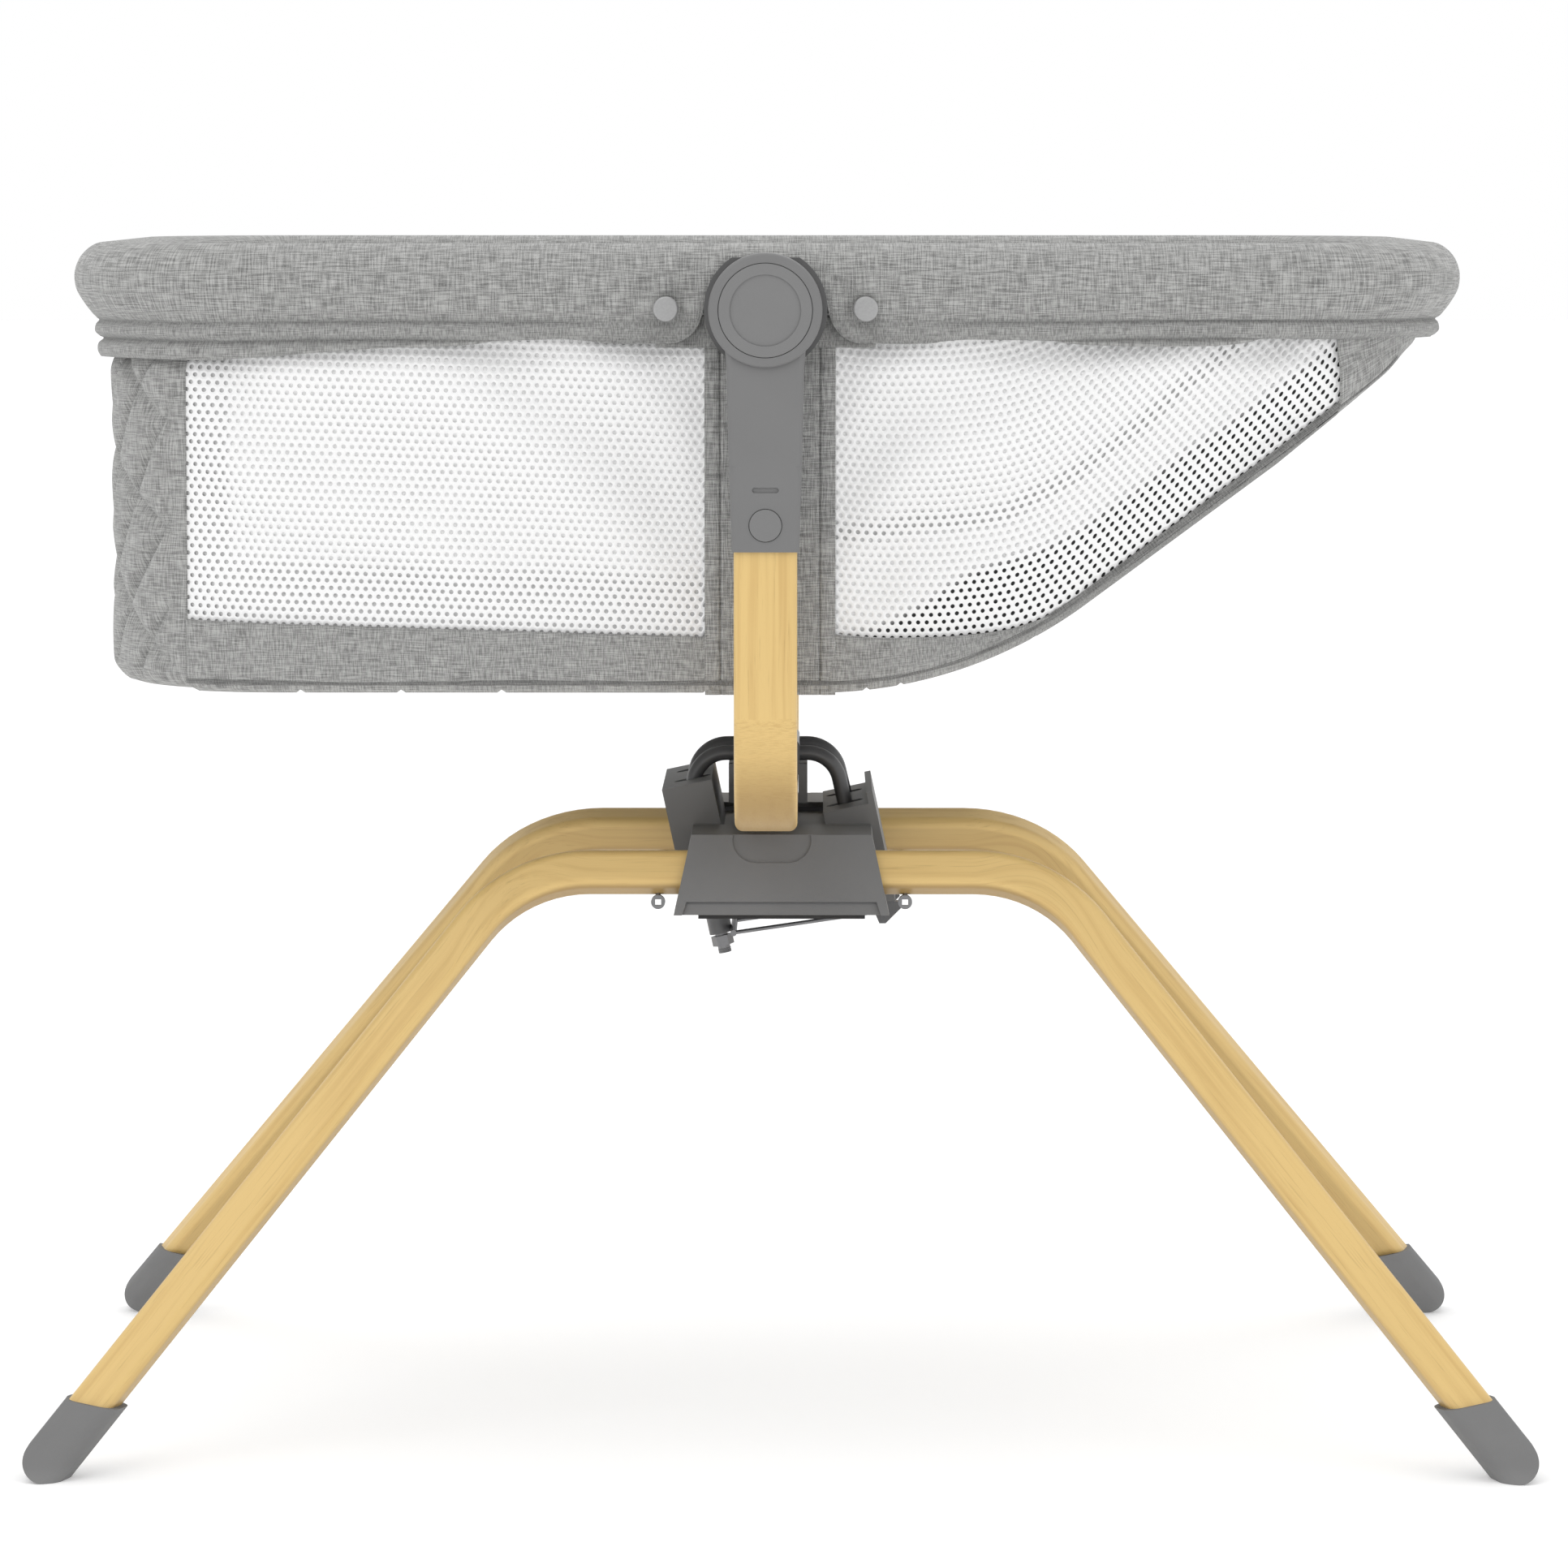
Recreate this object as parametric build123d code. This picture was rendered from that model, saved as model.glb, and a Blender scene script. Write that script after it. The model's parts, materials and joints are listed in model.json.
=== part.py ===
from build123d import *

import os
from math import cos, radians, sin, tan

# A bassinet on a bent-wood stand. Millimetres, +Z up, X along the basket, the deep bed half at -X.
# The origin is on the floor at the centre of the four feet. "front" is -Y and "rear" is +Y.

# ---- Stand
ARCH_TILT = 25.2          # lean of each arch from the vertical, towards the centre
ARCH_FOOT_Y = 300         # arch plane to the centre, at the floor
ARCH_RISE = 388           # floor to the top run's centre line, within the arch plane
ARCH_CORNER_X = 164       # where the top run's and a leg's centre lines meet
ARCH_LEG_SLOPE = 53.5     # leg to the floor, within the arch plane
ARCH_BEND = 88            # centre-line radius of the bends
ARCH_DEPTH = 25           # section, within the arch plane
ARCH_THICK = 22           # section, across the arch plane
ARCH_EDGE = 6
LEG_END = 12              # leg's end to the floor, within the arch plane

CAP_WALL = 3.4
CAP_OUTER_Z = 50          # cap's mouth on the outer side
CAP_MOUTH_TILT = 11.3
CAP_NOSE = 13             # radius of the nose, side view

# ---- Swing housing, tilted in the stand
HEAD_Z = 352              # swing pivot height
HEAD_TILT = 12
HEAD_HALF_X = 65
HEAD_HALF_Y = 73
HEAD_WALL = 3.5
LEFT_TOWER = (-65, -33, 59.5)    # from, to, top: along and above the pivot, in the tilted frame
RIGHT_TOWER = (31.7, 61, 24)
RIGHT_FLANGE_TOP = 31
RECESS_Z = 369            # floor of the recess between the towers
PAN_Z = 326               # top of the pan's floor
PAN_FLOOR = 4
PAN_HALF_X = 62
SADDLE_HALF_X = 52
SADDLE_WALL_Y = 112
SADDLE_TOP = 372

SKIRT_TOP_Z = 375
SKIRT_FOOT_Z = 327
SKIRT_TOP_HALF_X = 56
SKIRT_FOOT_HALF_X = 67
SKIRT_THICK = 3.5
SKIRT_LIP = 8

# ---- Swing frame
SWING_X = -9              # the cradle's centre, to the foot end of the stand's centre
SWING_HALF_Y = 34         # swing tubes to the centre
TUBE_R = 4.75
TUBE_WALL = 1.5
TUBE_CROWN_Z = 417
TUBE_BEND = 21
TUBE_END_Z = 354
LEFT_LEG_X = (-57.4, -56.3)      # at the foot, at the crown
RIGHT_LEG_X = (47.1, 32.6)
SLOT = (24, 11.5)
SHAFT_R = 6
RUN_FIT = 0.05            # radial clearance of a running fit
GAP = 0.3                 # between pieces that move past each other

FORK_Y = 284              # upright's centre to the centre
FORK_WIDE = 38
FORK_THICK = 18
FORK_FOOT_Z = 386
FORK_BEND = 61
FORK_TOP_Z = 560
COLLAR_TOP_Z = 611
COLLAR_FOOT = (40.4, 23.0)
COLLAR_HEAD = (43.6, 24.4)
TONGUE = (31.6, 14.0)
TONGUE_FOOT_Z = 568
SPIGOT = (22, 8, 28)
BUTTON_R = 9.7
BUTTON_Z = 576

# ---- Hubs
HUB_Z = 704
HUB_R = 34
HUB_OUT_Y = 300
HUB_IN_Y = 270.3
HUB_FLOOR_Y = 290
HUB_BUTTON_R = 28
HUB_DISH_R = 21.3
PIN_R = 6

# ---- Basket, about its own centre
RIM_HALF_X = 428
RIM_HALF_Y = 258
RIM_WIDE = 44
RIM_TALL = 46
RIM_TOP_Z = 746
RIM_CORNER = 98           # at the rim tube's centre line
RIM_TUBE_R = 9.5
RIM_SPLIT_X = 300
SKIRT_FALL_Z = 674        # lower edge of the rim cover's skirt
NOTCH_R = 40
NOTCH_Z = 697

BODY_LEFT_X = -402
BODY_RIGHT_X = 415
BODY_HALF_Y = 246
BODY_CORNER = 108
BODY_TOP_Z = 700
BODY_FLOOR_Z = 473
BODY_HEEL = 12            # radius under the quilted end
SLOPE_START_X = 120.5     # where the slope's line meets the floor's
SLOPE = 36.5
SLOPE_BEND = 273
FABRIC = 3
BOARD = 5
BED_END_X = 28
MATTRESS = 36
SLOPE_PAD = 14
LINER_INSET = 7
LINER_END_X = 378
LINER_TOP_Z = 697
END_SEAM_X = -352
BAND_X = (-37, 42)
LEFT_WINDOW_Z = (515.5, 506)
RIGHT_WINDOW = ((42, 506), (130, 506), (346, 645))
STUD_X = 60

CRADLE = Pos(SWING_X, 0, 0)
HEAD = Pos(0, 0, HEAD_Z) * Rot(0, -HEAD_TILT, 0)


def box(x, y, z):
    """A block between two limits on each axis."""
    size = [b - a for a, b in (x, y, z)]
    middle = [(a + b) / 2 for a, b in (x, y, z)]
    return Pos(*middle) * Box(*size)


def along_y(radius, y, x=0, z=0):
    """A round bar parallel to Y, between two values of Y."""
    return Pos(x, (y[0] + y[1]) / 2, z) * Rot(90, 0, 0) * Cylinder(radius, abs(y[1] - y[0]))


def ring_along_y(outer, inner, y):
    """A flat ring about the hub's axis."""
    return along_y(outer, y, 0, HUB_Z) - along_y(inner, (y[0] - 1, y[1] + 1), 0, HUB_Z)


def side_prism(face_or_wire, y):
    """An outline drawn in X and Z, extruded between two values of Y."""
    face = make_face(face_or_wire) if not isinstance(face_or_wire, (Face, Sketch)) else face_or_wire
    return Pos(0, y[1], 0) * (Plane.XZ * extrude(face, y[1] - y[0]))


def rear(shape):
    return mirror(shape, about=Plane.XZ)


# ------------------------------------------------------------------ stand

def arch_plane():
    tilt = radians(ARCH_TILT)
    return Plane(origin=(0, -ARCH_FOOT_Y, 0), x_dir=(1, 0, 0), z_dir=(0, -cos(tilt), sin(tilt)))


def arch_path():
    run = (ARCH_RISE - LEG_END) / tan(radians(ARCH_LEG_SLOPE))
    foot = ARCH_CORNER_X + run
    line = FilletPolyline((-foot, LEG_END), (-ARCH_CORNER_X, ARCH_RISE), (ARCH_CORNER_X, ARCH_RISE),
                          (foot, LEG_END), radius=ARCH_BEND)
    return arch_plane() * line


def arch():
    path = arch_path()
    start = Plane(origin=path @ 0, x_dir=arch_plane().z_dir, z_dir=path % 0)
    section = start * RectangleRounded(ARCH_THICK, ARCH_DEPTH, ARCH_EDGE)
    return sweep(section, path=path)


def foot_cap():
    """The left front cap: a sleeve over the leg, with a round nose and a flat sole."""
    foot, along = arch_path() @ 0, arch_path() % 0
    start = Plane(origin=foot - along * 40, x_dir=arch_plane().z_dir, z_dir=along)
    sleeve = RectangleRounded(ARCH_THICK + 2 * CAP_WALL, ARCH_DEPTH + 2 * CAP_WALL, ARCH_EDGE + CAP_WALL)
    body = extrude(start * sleeve, 120)
    run = along.X / along.Z
    outer = (ARCH_DEPTH / 2 + CAP_WALL) / sin(radians(ARCH_LEG_SLOPE))
    toe = foot.X - foot.Z * run - outer
    nose = FilletPolyline((toe + 100 * run, 100), (toe, 0), (toe + 200, 0), radius=CAP_NOSE)
    side = side_prism(nose + Polyline((toe + 200, 0), (toe + 200, 100), (toe + 100 * run, 100)), (-400, -200))
    mouth = Pos(foot.X + 10, -ARCH_FOOT_Y, CAP_OUTER_Z - 3) * Rot(0, CAP_MOUTH_TILT, 0)
    below = mouth * Pos(0, 0, -100) * Box(300, 300, 200)
    return (body & side & below) - arch()


def arch_bolts():
    """Bolts that clamp each skirt, arch and saddle together."""
    plane = arch_plane()
    bolts = []
    for x in (-38, 38):
        middle = plane.from_local_coords((x, ARCH_RISE, 0))
        axis = Plane(origin=middle, z_dir=plane.z_dir)
        shank = axis * Pos(0, 0, -9) * Cylinder(3, ARCH_THICK + 24)
        head = axis * Pos(0, 0, -ARCH_THICK / 2 - 20) * extrude(RegularPolygon(6, 6), 4)
        bolts.append(shank + head)
    return [bolt for pair in bolts for bolt in (pair, rear(pair))]


def eye_bolts():
    """Small eye bolts up into the underside of each arch."""
    plane = arch_plane()
    made = []
    for x in (-77, 77):
        under = plane.from_local_coords((x, ARCH_RISE - ARCH_DEPTH / 2, -5))
        shank = Plane(origin=under, z_dir=plane.y_dir) * Pos(0, 0, 3) * Cylinder(1.6, 10)
        eye = Pos(under.X, under.Y, under.Z - 5) * Rot(90, 0, 0) * Cylinder(4.4, 4.4)
        hole = Pos(under.X, under.Y, under.Z - 5.2) * Rot(90, 0, 0) * Box(3.8, 3.8, 10)
        bolt = (shank + eye) - hole
        made += [bolt, rear(bolt)]
    return made


def pan():
    """The stand's floor plate, with a wedge-shaped saddle behind each arch."""
    floor = box((-PAN_HALF_X, PAN_HALF_X), (-SADDLE_WALL_Y, SADDLE_WALL_Y), (PAN_Z - PAN_FLOOR, PAN_Z))
    face_line = arch_plane().offset(-ARCH_THICK / 2)
    low = point_at_height(face_line, PAN_Z - PAN_FLOOR)
    high = point_at_height(face_line, SADDLE_TOP)
    corners = [(-SADDLE_WALL_Y, PAN_Z - PAN_FLOOR), low, high, (-SADDLE_WALL_Y, SADDLE_TOP)]
    wedge = Plane.YZ * make_face(Polyline(*corners, close=True))
    saddle = Pos(-SADDLE_HALF_X, 0, 0) * extrude(wedge, 2 * SADDLE_HALF_X)
    wall = box((-SADDLE_HALF_X, SADDLE_HALF_X), (-SADDLE_WALL_Y, 4 - SADDLE_WALL_Y), (PAN_Z, SADDLE_TOP))
    tray = floor + saddle + wall + rear(saddle + wall)
    return tray - arch() - rear(arch())


def point_at_height(plane, z):
    """Y and Z where a plane that leans in Y reaches a height."""
    slope = (z - plane.origin.Z) / plane.y_dir.Z
    return (plane.origin.Y + slope * plane.y_dir.Y, z)


def skirt():
    """The sloping cover over the middle of the front arch, with its deck back to the housing."""
    inner = arch_plane().offset(ARCH_THICK / 2)
    outer = arch_plane().offset(ARCH_THICK / 2 + SKIRT_THICK)
    deck_low = SKIRT_TOP_Z - SKIRT_THICK
    profile = [
        point_at_height(inner, SKIRT_FOOT_Z), point_at_height(outer, SKIRT_FOOT_Z),
        point_at_height(outer, SKIRT_TOP_Z), (-HEAD_HALF_Y - GAP, SKIRT_TOP_Z),
        (-HEAD_HALF_Y - GAP, deck_low + 0.5), point_at_height(inner, deck_low + 0.5),
    ]
    wide = 2 * SKIRT_FOOT_HALF_X
    shell = Pos(-wide / 2, 0, 0) * extrude(Plane.YZ * make_face(Polyline(*profile, close=True)), wide)
    outline = [(-SKIRT_FOOT_HALF_X, SKIRT_FOOT_Z - 1), (SKIRT_FOOT_HALF_X, SKIRT_FOOT_Z - 1),
               (SKIRT_TOP_HALF_X, SKIRT_TOP_Z + 1), (-SKIRT_TOP_HALF_X, SKIRT_TOP_Z + 1)]
    trapezoid = side_prism(Polyline(*outline, close=True), (-200, 0))
    cheeks = trapezoid - side_prism(offset(make_face(Polyline(*outline, close=True)), -3), (-200, 0))
    reach_out = point_at_height(outer, SKIRT_FOOT_Z)[0]
    cheek_side = [point_at_height(outer, SKIRT_FOOT_Z), point_at_height(outer, SKIRT_TOP_Z),
                  (reach_out + 42, SKIRT_TOP_Z), (reach_out + 34, SKIRT_FOOT_Z)]
    cheek_body = Pos(-wide / 2, 0, 0) * extrude(Plane.YZ * make_face(Polyline(*cheek_side, close=True)), wide)
    flanges = cheeks & cheek_body & (box((-90, -SADDLE_HALF_X), (-200, 0), (300, 400))
                                     + box((SADDLE_HALF_X, 90), (-200, 0), (300, 400)))
    body = (shell & trapezoid) + flanges
    lip = [(-SKIRT_FOOT_HALF_X + 5, SKIRT_FOOT_Z - 1), (SKIRT_FOOT_HALF_X - 5, SKIRT_FOOT_Z - 1),
           (SKIRT_FOOT_HALF_X - 8, SKIRT_FOOT_Z + SKIRT_LIP), (8 - SKIRT_FOOT_HALF_X, SKIRT_FOOT_Z + SKIRT_LIP)]
    undercut = arch_plane().offset(ARCH_THICK / 2 + 1.2)
    lip_side = [point_at_height(undercut, SKIRT_FOOT_Z - 2), point_at_height(undercut, SKIRT_FOOT_Z + 12),
                (-200, SKIRT_FOOT_Z + 12), (-200, SKIRT_FOOT_Z - 2)]
    lip_cut = Pos(-wide / 2, 0, 0) * extrude(Plane.YZ * make_face(Polyline(*lip_side, close=True)), wide)
    body -= side_prism(Polyline(*lip, close=True), (-200, 0)) & lip_cut
    relief = arch_plane().offset(ARCH_THICK / 2 + SKIRT_THICK - 1.2)
    top = ARCH_RISE + 24
    half_moon = relief * Pos(-6, top - 8) * SlotOverall(49, 30)
    body -= extrude(half_moon, 20)
    return body - arch()


def tower_outlines():
    """The two towers' side views in the tilted frame, to be cut level at the pan."""
    left, inner, top = LEFT_TOWER
    right_from, right_to, right_top = RIGHT_TOWER
    points = [(left, -60), (left, top), (inner, top), (inner, -60)]
    right = [(right_from, -60), (right_from, right_top), (right_to, right_top),
             (right_to, RIGHT_FLANGE_TOP), (HEAD_HALF_X, RIGHT_FLANGE_TOP), (HEAD_HALF_X, -60)]
    return points, right


def housing_mass(grow=0.0):
    """The housing's outer or inner volume above the pan."""
    half_y = HEAD_HALF_Y + grow
    shapes = []
    for points in tower_outlines():
        face = make_face(Polyline(*points, close=True))
        if grow:
            face = offset(face, grow, kind=Kind.INTERSECTION)
        shapes.append(HEAD * side_prism(face, (-half_y, half_y)))
    middle = box((-46, 46), (-half_y, half_y), (PAN_Z - 1, RECESS_Z + grow))
    above = box((-120, 120), (-90, 90), (PAN_Z, 450))
    return (shapes[0] + shapes[1] + middle) & above


def housing_parts():
    shell = housing_mass() - (housing_mass(-HEAD_WALL) + box((-56, 62), (-69.5, 69.5), (PAN_Z, PAN_Z + 6)))
    for u, top in ((-45.6, LEFT_TOWER[2]), (45.9, RIGHT_TOWER[2])):
        for y in (-SWING_HALF_Y, SWING_HALF_Y):
            shell -= HEAD * Pos(u, y, top) * extrude(SlotOverall(*SLOT), 8, both=True)
    split = -20
    left = shell & box((-120, split), (-90, 90), (300, 450))
    right = shell & box((split, 120), (-90, 90), (300, 450))
    return left, right


def bearing_blocks():
    block = box((-16, 16), (-62, -50), (PAN_Z, RECESS_Z - HEAD_WALL - 1))
    block -= along_y(SHAFT_R, (-70, -40), 0, HEAD_Z)
    return [block, rear(block)]


def pivot_shaft():
    return along_y(SHAFT_R, (-66, 66), 0, HEAD_Z)


def post_axis():
    return HEAD * Pos(-50, 0, 0)


def pivot_post():
    sleeve = post_axis() * Pos(0, 0, -33) * Cylinder(7.5, 24)
    below = box((-120, 120), (-90, 90), (200, PAN_Z - PAN_FLOOR))
    return ((post_axis() * Pos(0, 0, -29) * Cylinder(7.5, 32)) & below) + (sleeve & below)


def post_bolt():
    axis = post_axis()
    shank = axis * Pos(0, 0, -37.5) * Cylinder(4, 41)
    head = axis * Pos(0, 0, -13) * Cylinder(7, 8)
    thread = [axis * Pos(0, 0, -55.4 - turn) * Torus(3.8, 0.45) for turn in range(3)]
    bolt = shank + head
    for ring in thread:
        bolt += ring
    return bolt


def post_nut():
    nut = post_axis() * Pos(0, 0, -53) * extrude(RegularPolygon(7, 6), 6.4)
    return nut - post_bolt()


def tie_rods():
    """Two thin stays from a cross bar under the post up to the bracket at the right."""
    low = post_axis() * Pos(9, 0, -43)
    start = low.position
    end_x, end_z = 68, 316
    rods = []
    for y in (-SWING_HALF_Y, SWING_HALF_Y):
        line = Line((start.X, y, start.Z), (end_x, y, end_z))
        rods.append(sweep(Plane(origin=line @ 0, z_dir=line % 0) * Circle(1.3), path=line))
    bar = along_y(2, (-SWING_HALF_Y - 3, SWING_HALF_Y + 3), start.X, start.Z)
    return rods[0] + rods[1] + bar


def tie_bracket():
    """A bent ear under the right side of the pan that holds the stays."""
    corners = [(56, PAN_Z - PAN_FLOOR), (74, PAN_Z - PAN_FLOOR), (76, PAN_Z - 8), (66, 308), (62, 308)]
    ear = side_prism(Polyline(*corners, close=True), (-SWING_HALF_Y - 5, -SWING_HALF_Y + 5))
    plate = box((50, 64), (-SWING_HALF_Y - 5, SWING_HALF_Y + 5), (PAN_Z - PAN_FLOOR - 3, PAN_Z - PAN_FLOOR))
    return ear + rear(ear) + plate - tie_rods()


# ------------------------------------------------------------------ swing frame

def swing_tube(section):
    """An inverted U in steel, splayed more on its right leg."""
    path = FilletPolyline((LEFT_LEG_X[0], TUBE_END_Z), (LEFT_LEG_X[1], TUBE_CROWN_Z),
                          (RIGHT_LEG_X[1], TUBE_CROWN_Z), (RIGHT_LEG_X[0], TUBE_END_Z), radius=TUBE_BEND)
    path = Plane(origin=(0, -SWING_HALF_Y, 0), x_dir=(1, 0, 0), z_dir=(0, -1, 0)) * path
    return sweep(Plane(origin=path @ 0, z_dir=path % 0) * section, path=path)


def tube_seats():
    """Both swing tubes without their bores, for cutting the seats that hold them."""
    bar = swing_tube(Circle(TUBE_R))
    return bar + rear(bar)


def swing_yoke():
    """The rocking bar that joins the tubes' feet and turns on the pivot shaft."""
    bar = box((-61, 54), (-42, 42), (HEAD_Z - 3, HEAD_Z + 6)) + along_y(11, (-42, 42), 0, HEAD_Z)
    bar -= along_y(8, (-50, 50), 0, HEAD_Z)
    return bar - tube_seats()


def yoke_bushes():
    bush = along_y(8, (-42, -28), 0, HEAD_Z) - along_y(SHAFT_R + RUN_FIT, (-50, -20), 0, HEAD_Z)
    return [bush, rear(bush)]


def fork():
    bottom = FORK_FOOT_Z + FORK_THICK / 2
    path = FilletPolyline((-FORK_Y, FORK_TOP_Z), (-FORK_Y, bottom), (FORK_Y, bottom), (FORK_Y, FORK_TOP_Z),
                          radius=FORK_BEND)
    path = Plane.YZ * path
    section = Plane(origin=path @ 0, x_dir=(1, 0, 0), z_dir=path % 0) * RectangleRounded(FORK_WIDE, FORK_THICK, 5)
    wood = sweep(section, path=path)
    mortise = box((-SPIGOT[0] / 2, SPIGOT[0] / 2), (-FORK_Y - SPIGOT[1] / 2, SPIGOT[1] / 2 - FORK_Y),
                  (FORK_TOP_Z - SPIGOT[2], FORK_TOP_Z + 1))
    wood -= mortise + rear(mortise)
    for bolt in clamp_bolts():
        wood -= bolt
    return wood


def clamp_saddle():
    """The casting over the fork's foot that grips both swing tubes."""
    top = box((-20, 20), (-46, 46), (FORK_FOOT_Z + FORK_THICK, 426))
    top = fillet(top.edges().group_by(Axis.Z)[-1], 4)
    cheek = box((FORK_WIDE / 2 + GAP, 25), (-46, 46), (FORK_FOOT_Z, 411))
    strap = box((-25, 25), (-46, 46), (FORK_FOOT_Z + FORK_THICK, 411))
    body = top + strap + cheek + mirror(cheek, about=Plane.YZ)
    body -= Pos(-SWING_X, 0, 0) * tube_seats()
    for bolt in clamp_bolts():
        body -= bolt
    return body


def clamp_plate():
    plate = box((-FORK_WIDE / 2, FORK_WIDE / 2), (-30, 30), (FORK_FOOT_Z - 4, FORK_FOOT_Z))
    for bolt in clamp_bolts():
        plate -= bolt
    return plate


def clamp_bolts():
    bolts = []
    for x in (-11, 11):
        for y in (-18, 18):
            shank = Pos(x, y, 404) * Cylinder(3, 48)
            top = Pos(x, y, 428) * Cylinder(5, 4)
            nut = Pos(x, y, FORK_FOOT_Z - 8) * extrude(RegularPolygon(5.5, 6), 4)
            bolts.append(shank + top + nut)
    return bolts


def collar():
    """The socket on top of a fork upright, with its button bore and pointer slot."""
    foot = Pos(0, -FORK_Y, FORK_TOP_Z) * RectangleRounded(*COLLAR_FOOT, 4)
    head = Pos(0, -FORK_Y, COLLAR_TOP_Z) * RectangleRounded(*COLLAR_HEAD, 5)
    body = loft([foot, head])
    socket = [(side + 2 * GAP) / 2 for side in TONGUE]
    body -= box((-socket[0], socket[0]), (-FORK_Y - socket[1], socket[1] - FORK_Y),
                (TONGUE_FOOT_Z - 1, COLLAR_TOP_Z + 1))
    body += box((-SPIGOT[0] / 2, SPIGOT[0] / 2), (-FORK_Y - SPIGOT[1] / 2, SPIGOT[1] / 2 - FORK_Y),
                (FORK_TOP_Z - SPIGOT[2], FORK_TOP_Z + 1))
    body -= along_y(BUTTON_R + GAP, (-FORK_Y - 20, -FORK_Y - 3), 0, BUTTON_Z)
    pointer = Pos(0, -FORK_Y - COLLAR_HEAD[1] / 2, 597) * Rot(90, 0, 0) * SlotOverall(16, 3.2)
    return body - extrude(pointer, 1.4, both=True)


def collar_button():
    outer = FORK_Y + COLLAR_FOOT[1] / 2 + 1.2
    button = along_y(BUTTON_R, (-outer, -FORK_Y - TONGUE[1] / 2 - GAP - 0.3), 0, BUTTON_Z)
    return fillet(button.edges().sort_by(Axis.Y)[0], 0.8)


# ------------------------------------------------------------------ hub carriers

def carrier():
    """A round hub, its neck, and the tongue that drops into the collar."""
    disc = along_y(HUB_R, (-HUB_OUT_Y, -HUB_IN_Y), 0, HUB_Z)
    disc = fillet(disc.edges().sort_by(Axis.Y)[0], 2)
    top = HUB_Z - 24
    outline = Polyline((-24, top), (-23.2, 668), (-COLLAR_HEAD[0] / 2, COLLAR_TOP_Z),
                       (COLLAR_HEAD[0] / 2, COLLAR_TOP_Z), (23.2, 668), (24, top), close=True)
    half = COLLAR_HEAD[1] / 2
    neck = side_prism(outline, (-FORK_Y - half, half - FORK_Y))
    neck = fillet(neck.edges().filter_by(lambda e: abs(e.tangent_at(0.5).Z) > 0.9), 4)
    tongue = box((-TONGUE[0] / 2, TONGUE[0] / 2), (-FORK_Y - TONGUE[1] / 2, TONGUE[1] / 2 - FORK_Y),
                 (TONGUE_FOOT_Z, COLLAR_TOP_Z + 1))
    tongue -= along_y(BUTTON_R + 1.5, (-FORK_Y - 10, -FORK_Y - 2), 0, BUTTON_Z)
    body = disc + neck + tongue
    body -= along_y(HUB_BUTTON_R + GAP, (-HUB_OUT_Y - 1, -HUB_FLOOR_Y), 0, HUB_Z)
    return body - along_y(PIN_R, (-HUB_OUT_Y, -200), 0, HUB_Z)


def hub_button():
    cap = along_y(HUB_BUTTON_R, (-HUB_OUT_Y - 0.6, -HUB_OUT_Y + 4), 0, HUB_Z)
    cap = fillet(cap.edges().sort_by(Axis.Y)[0], 1)
    return cap - along_y(HUB_DISH_R, (-HUB_OUT_Y - 1, -HUB_OUT_Y + 0.3), 0, HUB_Z)


def hub_springs():
    """Two-leaf wave springs under the hub buttons, drawn flat, as when a button is pressed."""
    spring = ring_along_y(19, 17, (-HUB_FLOOR_Y - 1, -HUB_FLOOR_Y))
    spring += ring_along_y(19, 17, (-HUB_FLOOR_Y - 2.4, -HUB_FLOOR_Y - 1.6))
    for turn in range(3):
        link = box((17.2, 18.8), (-HUB_FLOOR_Y - 2.2, -HUB_FLOOR_Y - 0.5), (-2, 2))
        spring += Pos(0, 0, HUB_Z) * Rot(0, 120 * turn, 0) * link
    return [spring, rear(spring)]


def hub_pins():
    pin = along_y(PIN_R, (-HUB_FLOOR_Y - 2, -250), 0, HUB_Z) + along_y(9, (-HUB_FLOOR_Y - 2, -HUB_FLOOR_Y), 0, HUB_Z)
    return [pin, rear(pin)]


# ------------------------------------------------------------------ basket

RIM_Y = RIM_HALF_Y - RIM_WIDE / 2
RIM_X = RIM_HALF_X - RIM_WIDE / 2
RIM_Z = RIM_TOP_Z - RIM_TALL / 2


def rim_bracket():
    """The plate behind the hub, with the sleeve that joins the two rim tubes."""
    plate = along_y(37, (-270, -258.5), 0, HUB_Z)
    plate &= box((-50, 50), (-300, -200), (HUB_Z - 40, RIM_TOP_Z - 11))
    sleeve = Pos(0, -RIM_Y, RIM_Z) * Rot(0, 90, 0) * Cylinder(RIM_TUBE_R + 2.6, 72)
    web = box((-16, 16), (-264, -RIM_Y), (RIM_Z - 7, RIM_Z + 7))
    boss = along_y(12, (-264, -252), 0, HUB_Z)
    body = plate + sleeve + web + boss
    body -= Pos(0, -RIM_Y, RIM_Z) * Rot(0, 90, 0) * Cylinder(RIM_TUBE_R, 90)
    return body - along_y(PIN_R + RUN_FIT, (-300, -249), 0, HUB_Z)


def rim_path(end_x, sign):
    """A U around one end of the rim, at the tube's centre line."""
    points = [(end_x, -RIM_Y), (sign * RIM_X, -RIM_Y), (sign * RIM_X, RIM_Y), (end_x, RIM_Y)]
    return Pos(0, 0, RIM_Z) * FilletPolyline(*points, radius=RIM_CORNER)


def rim_tube(sign):
    path = rim_path(sign * 4, sign)
    ring = Circle(RIM_TUBE_R) - Circle(RIM_TUBE_R - 1.5)
    return sweep(Plane(origin=path @ 0, z_dir=path % 0) * ring, path=path)


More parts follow.
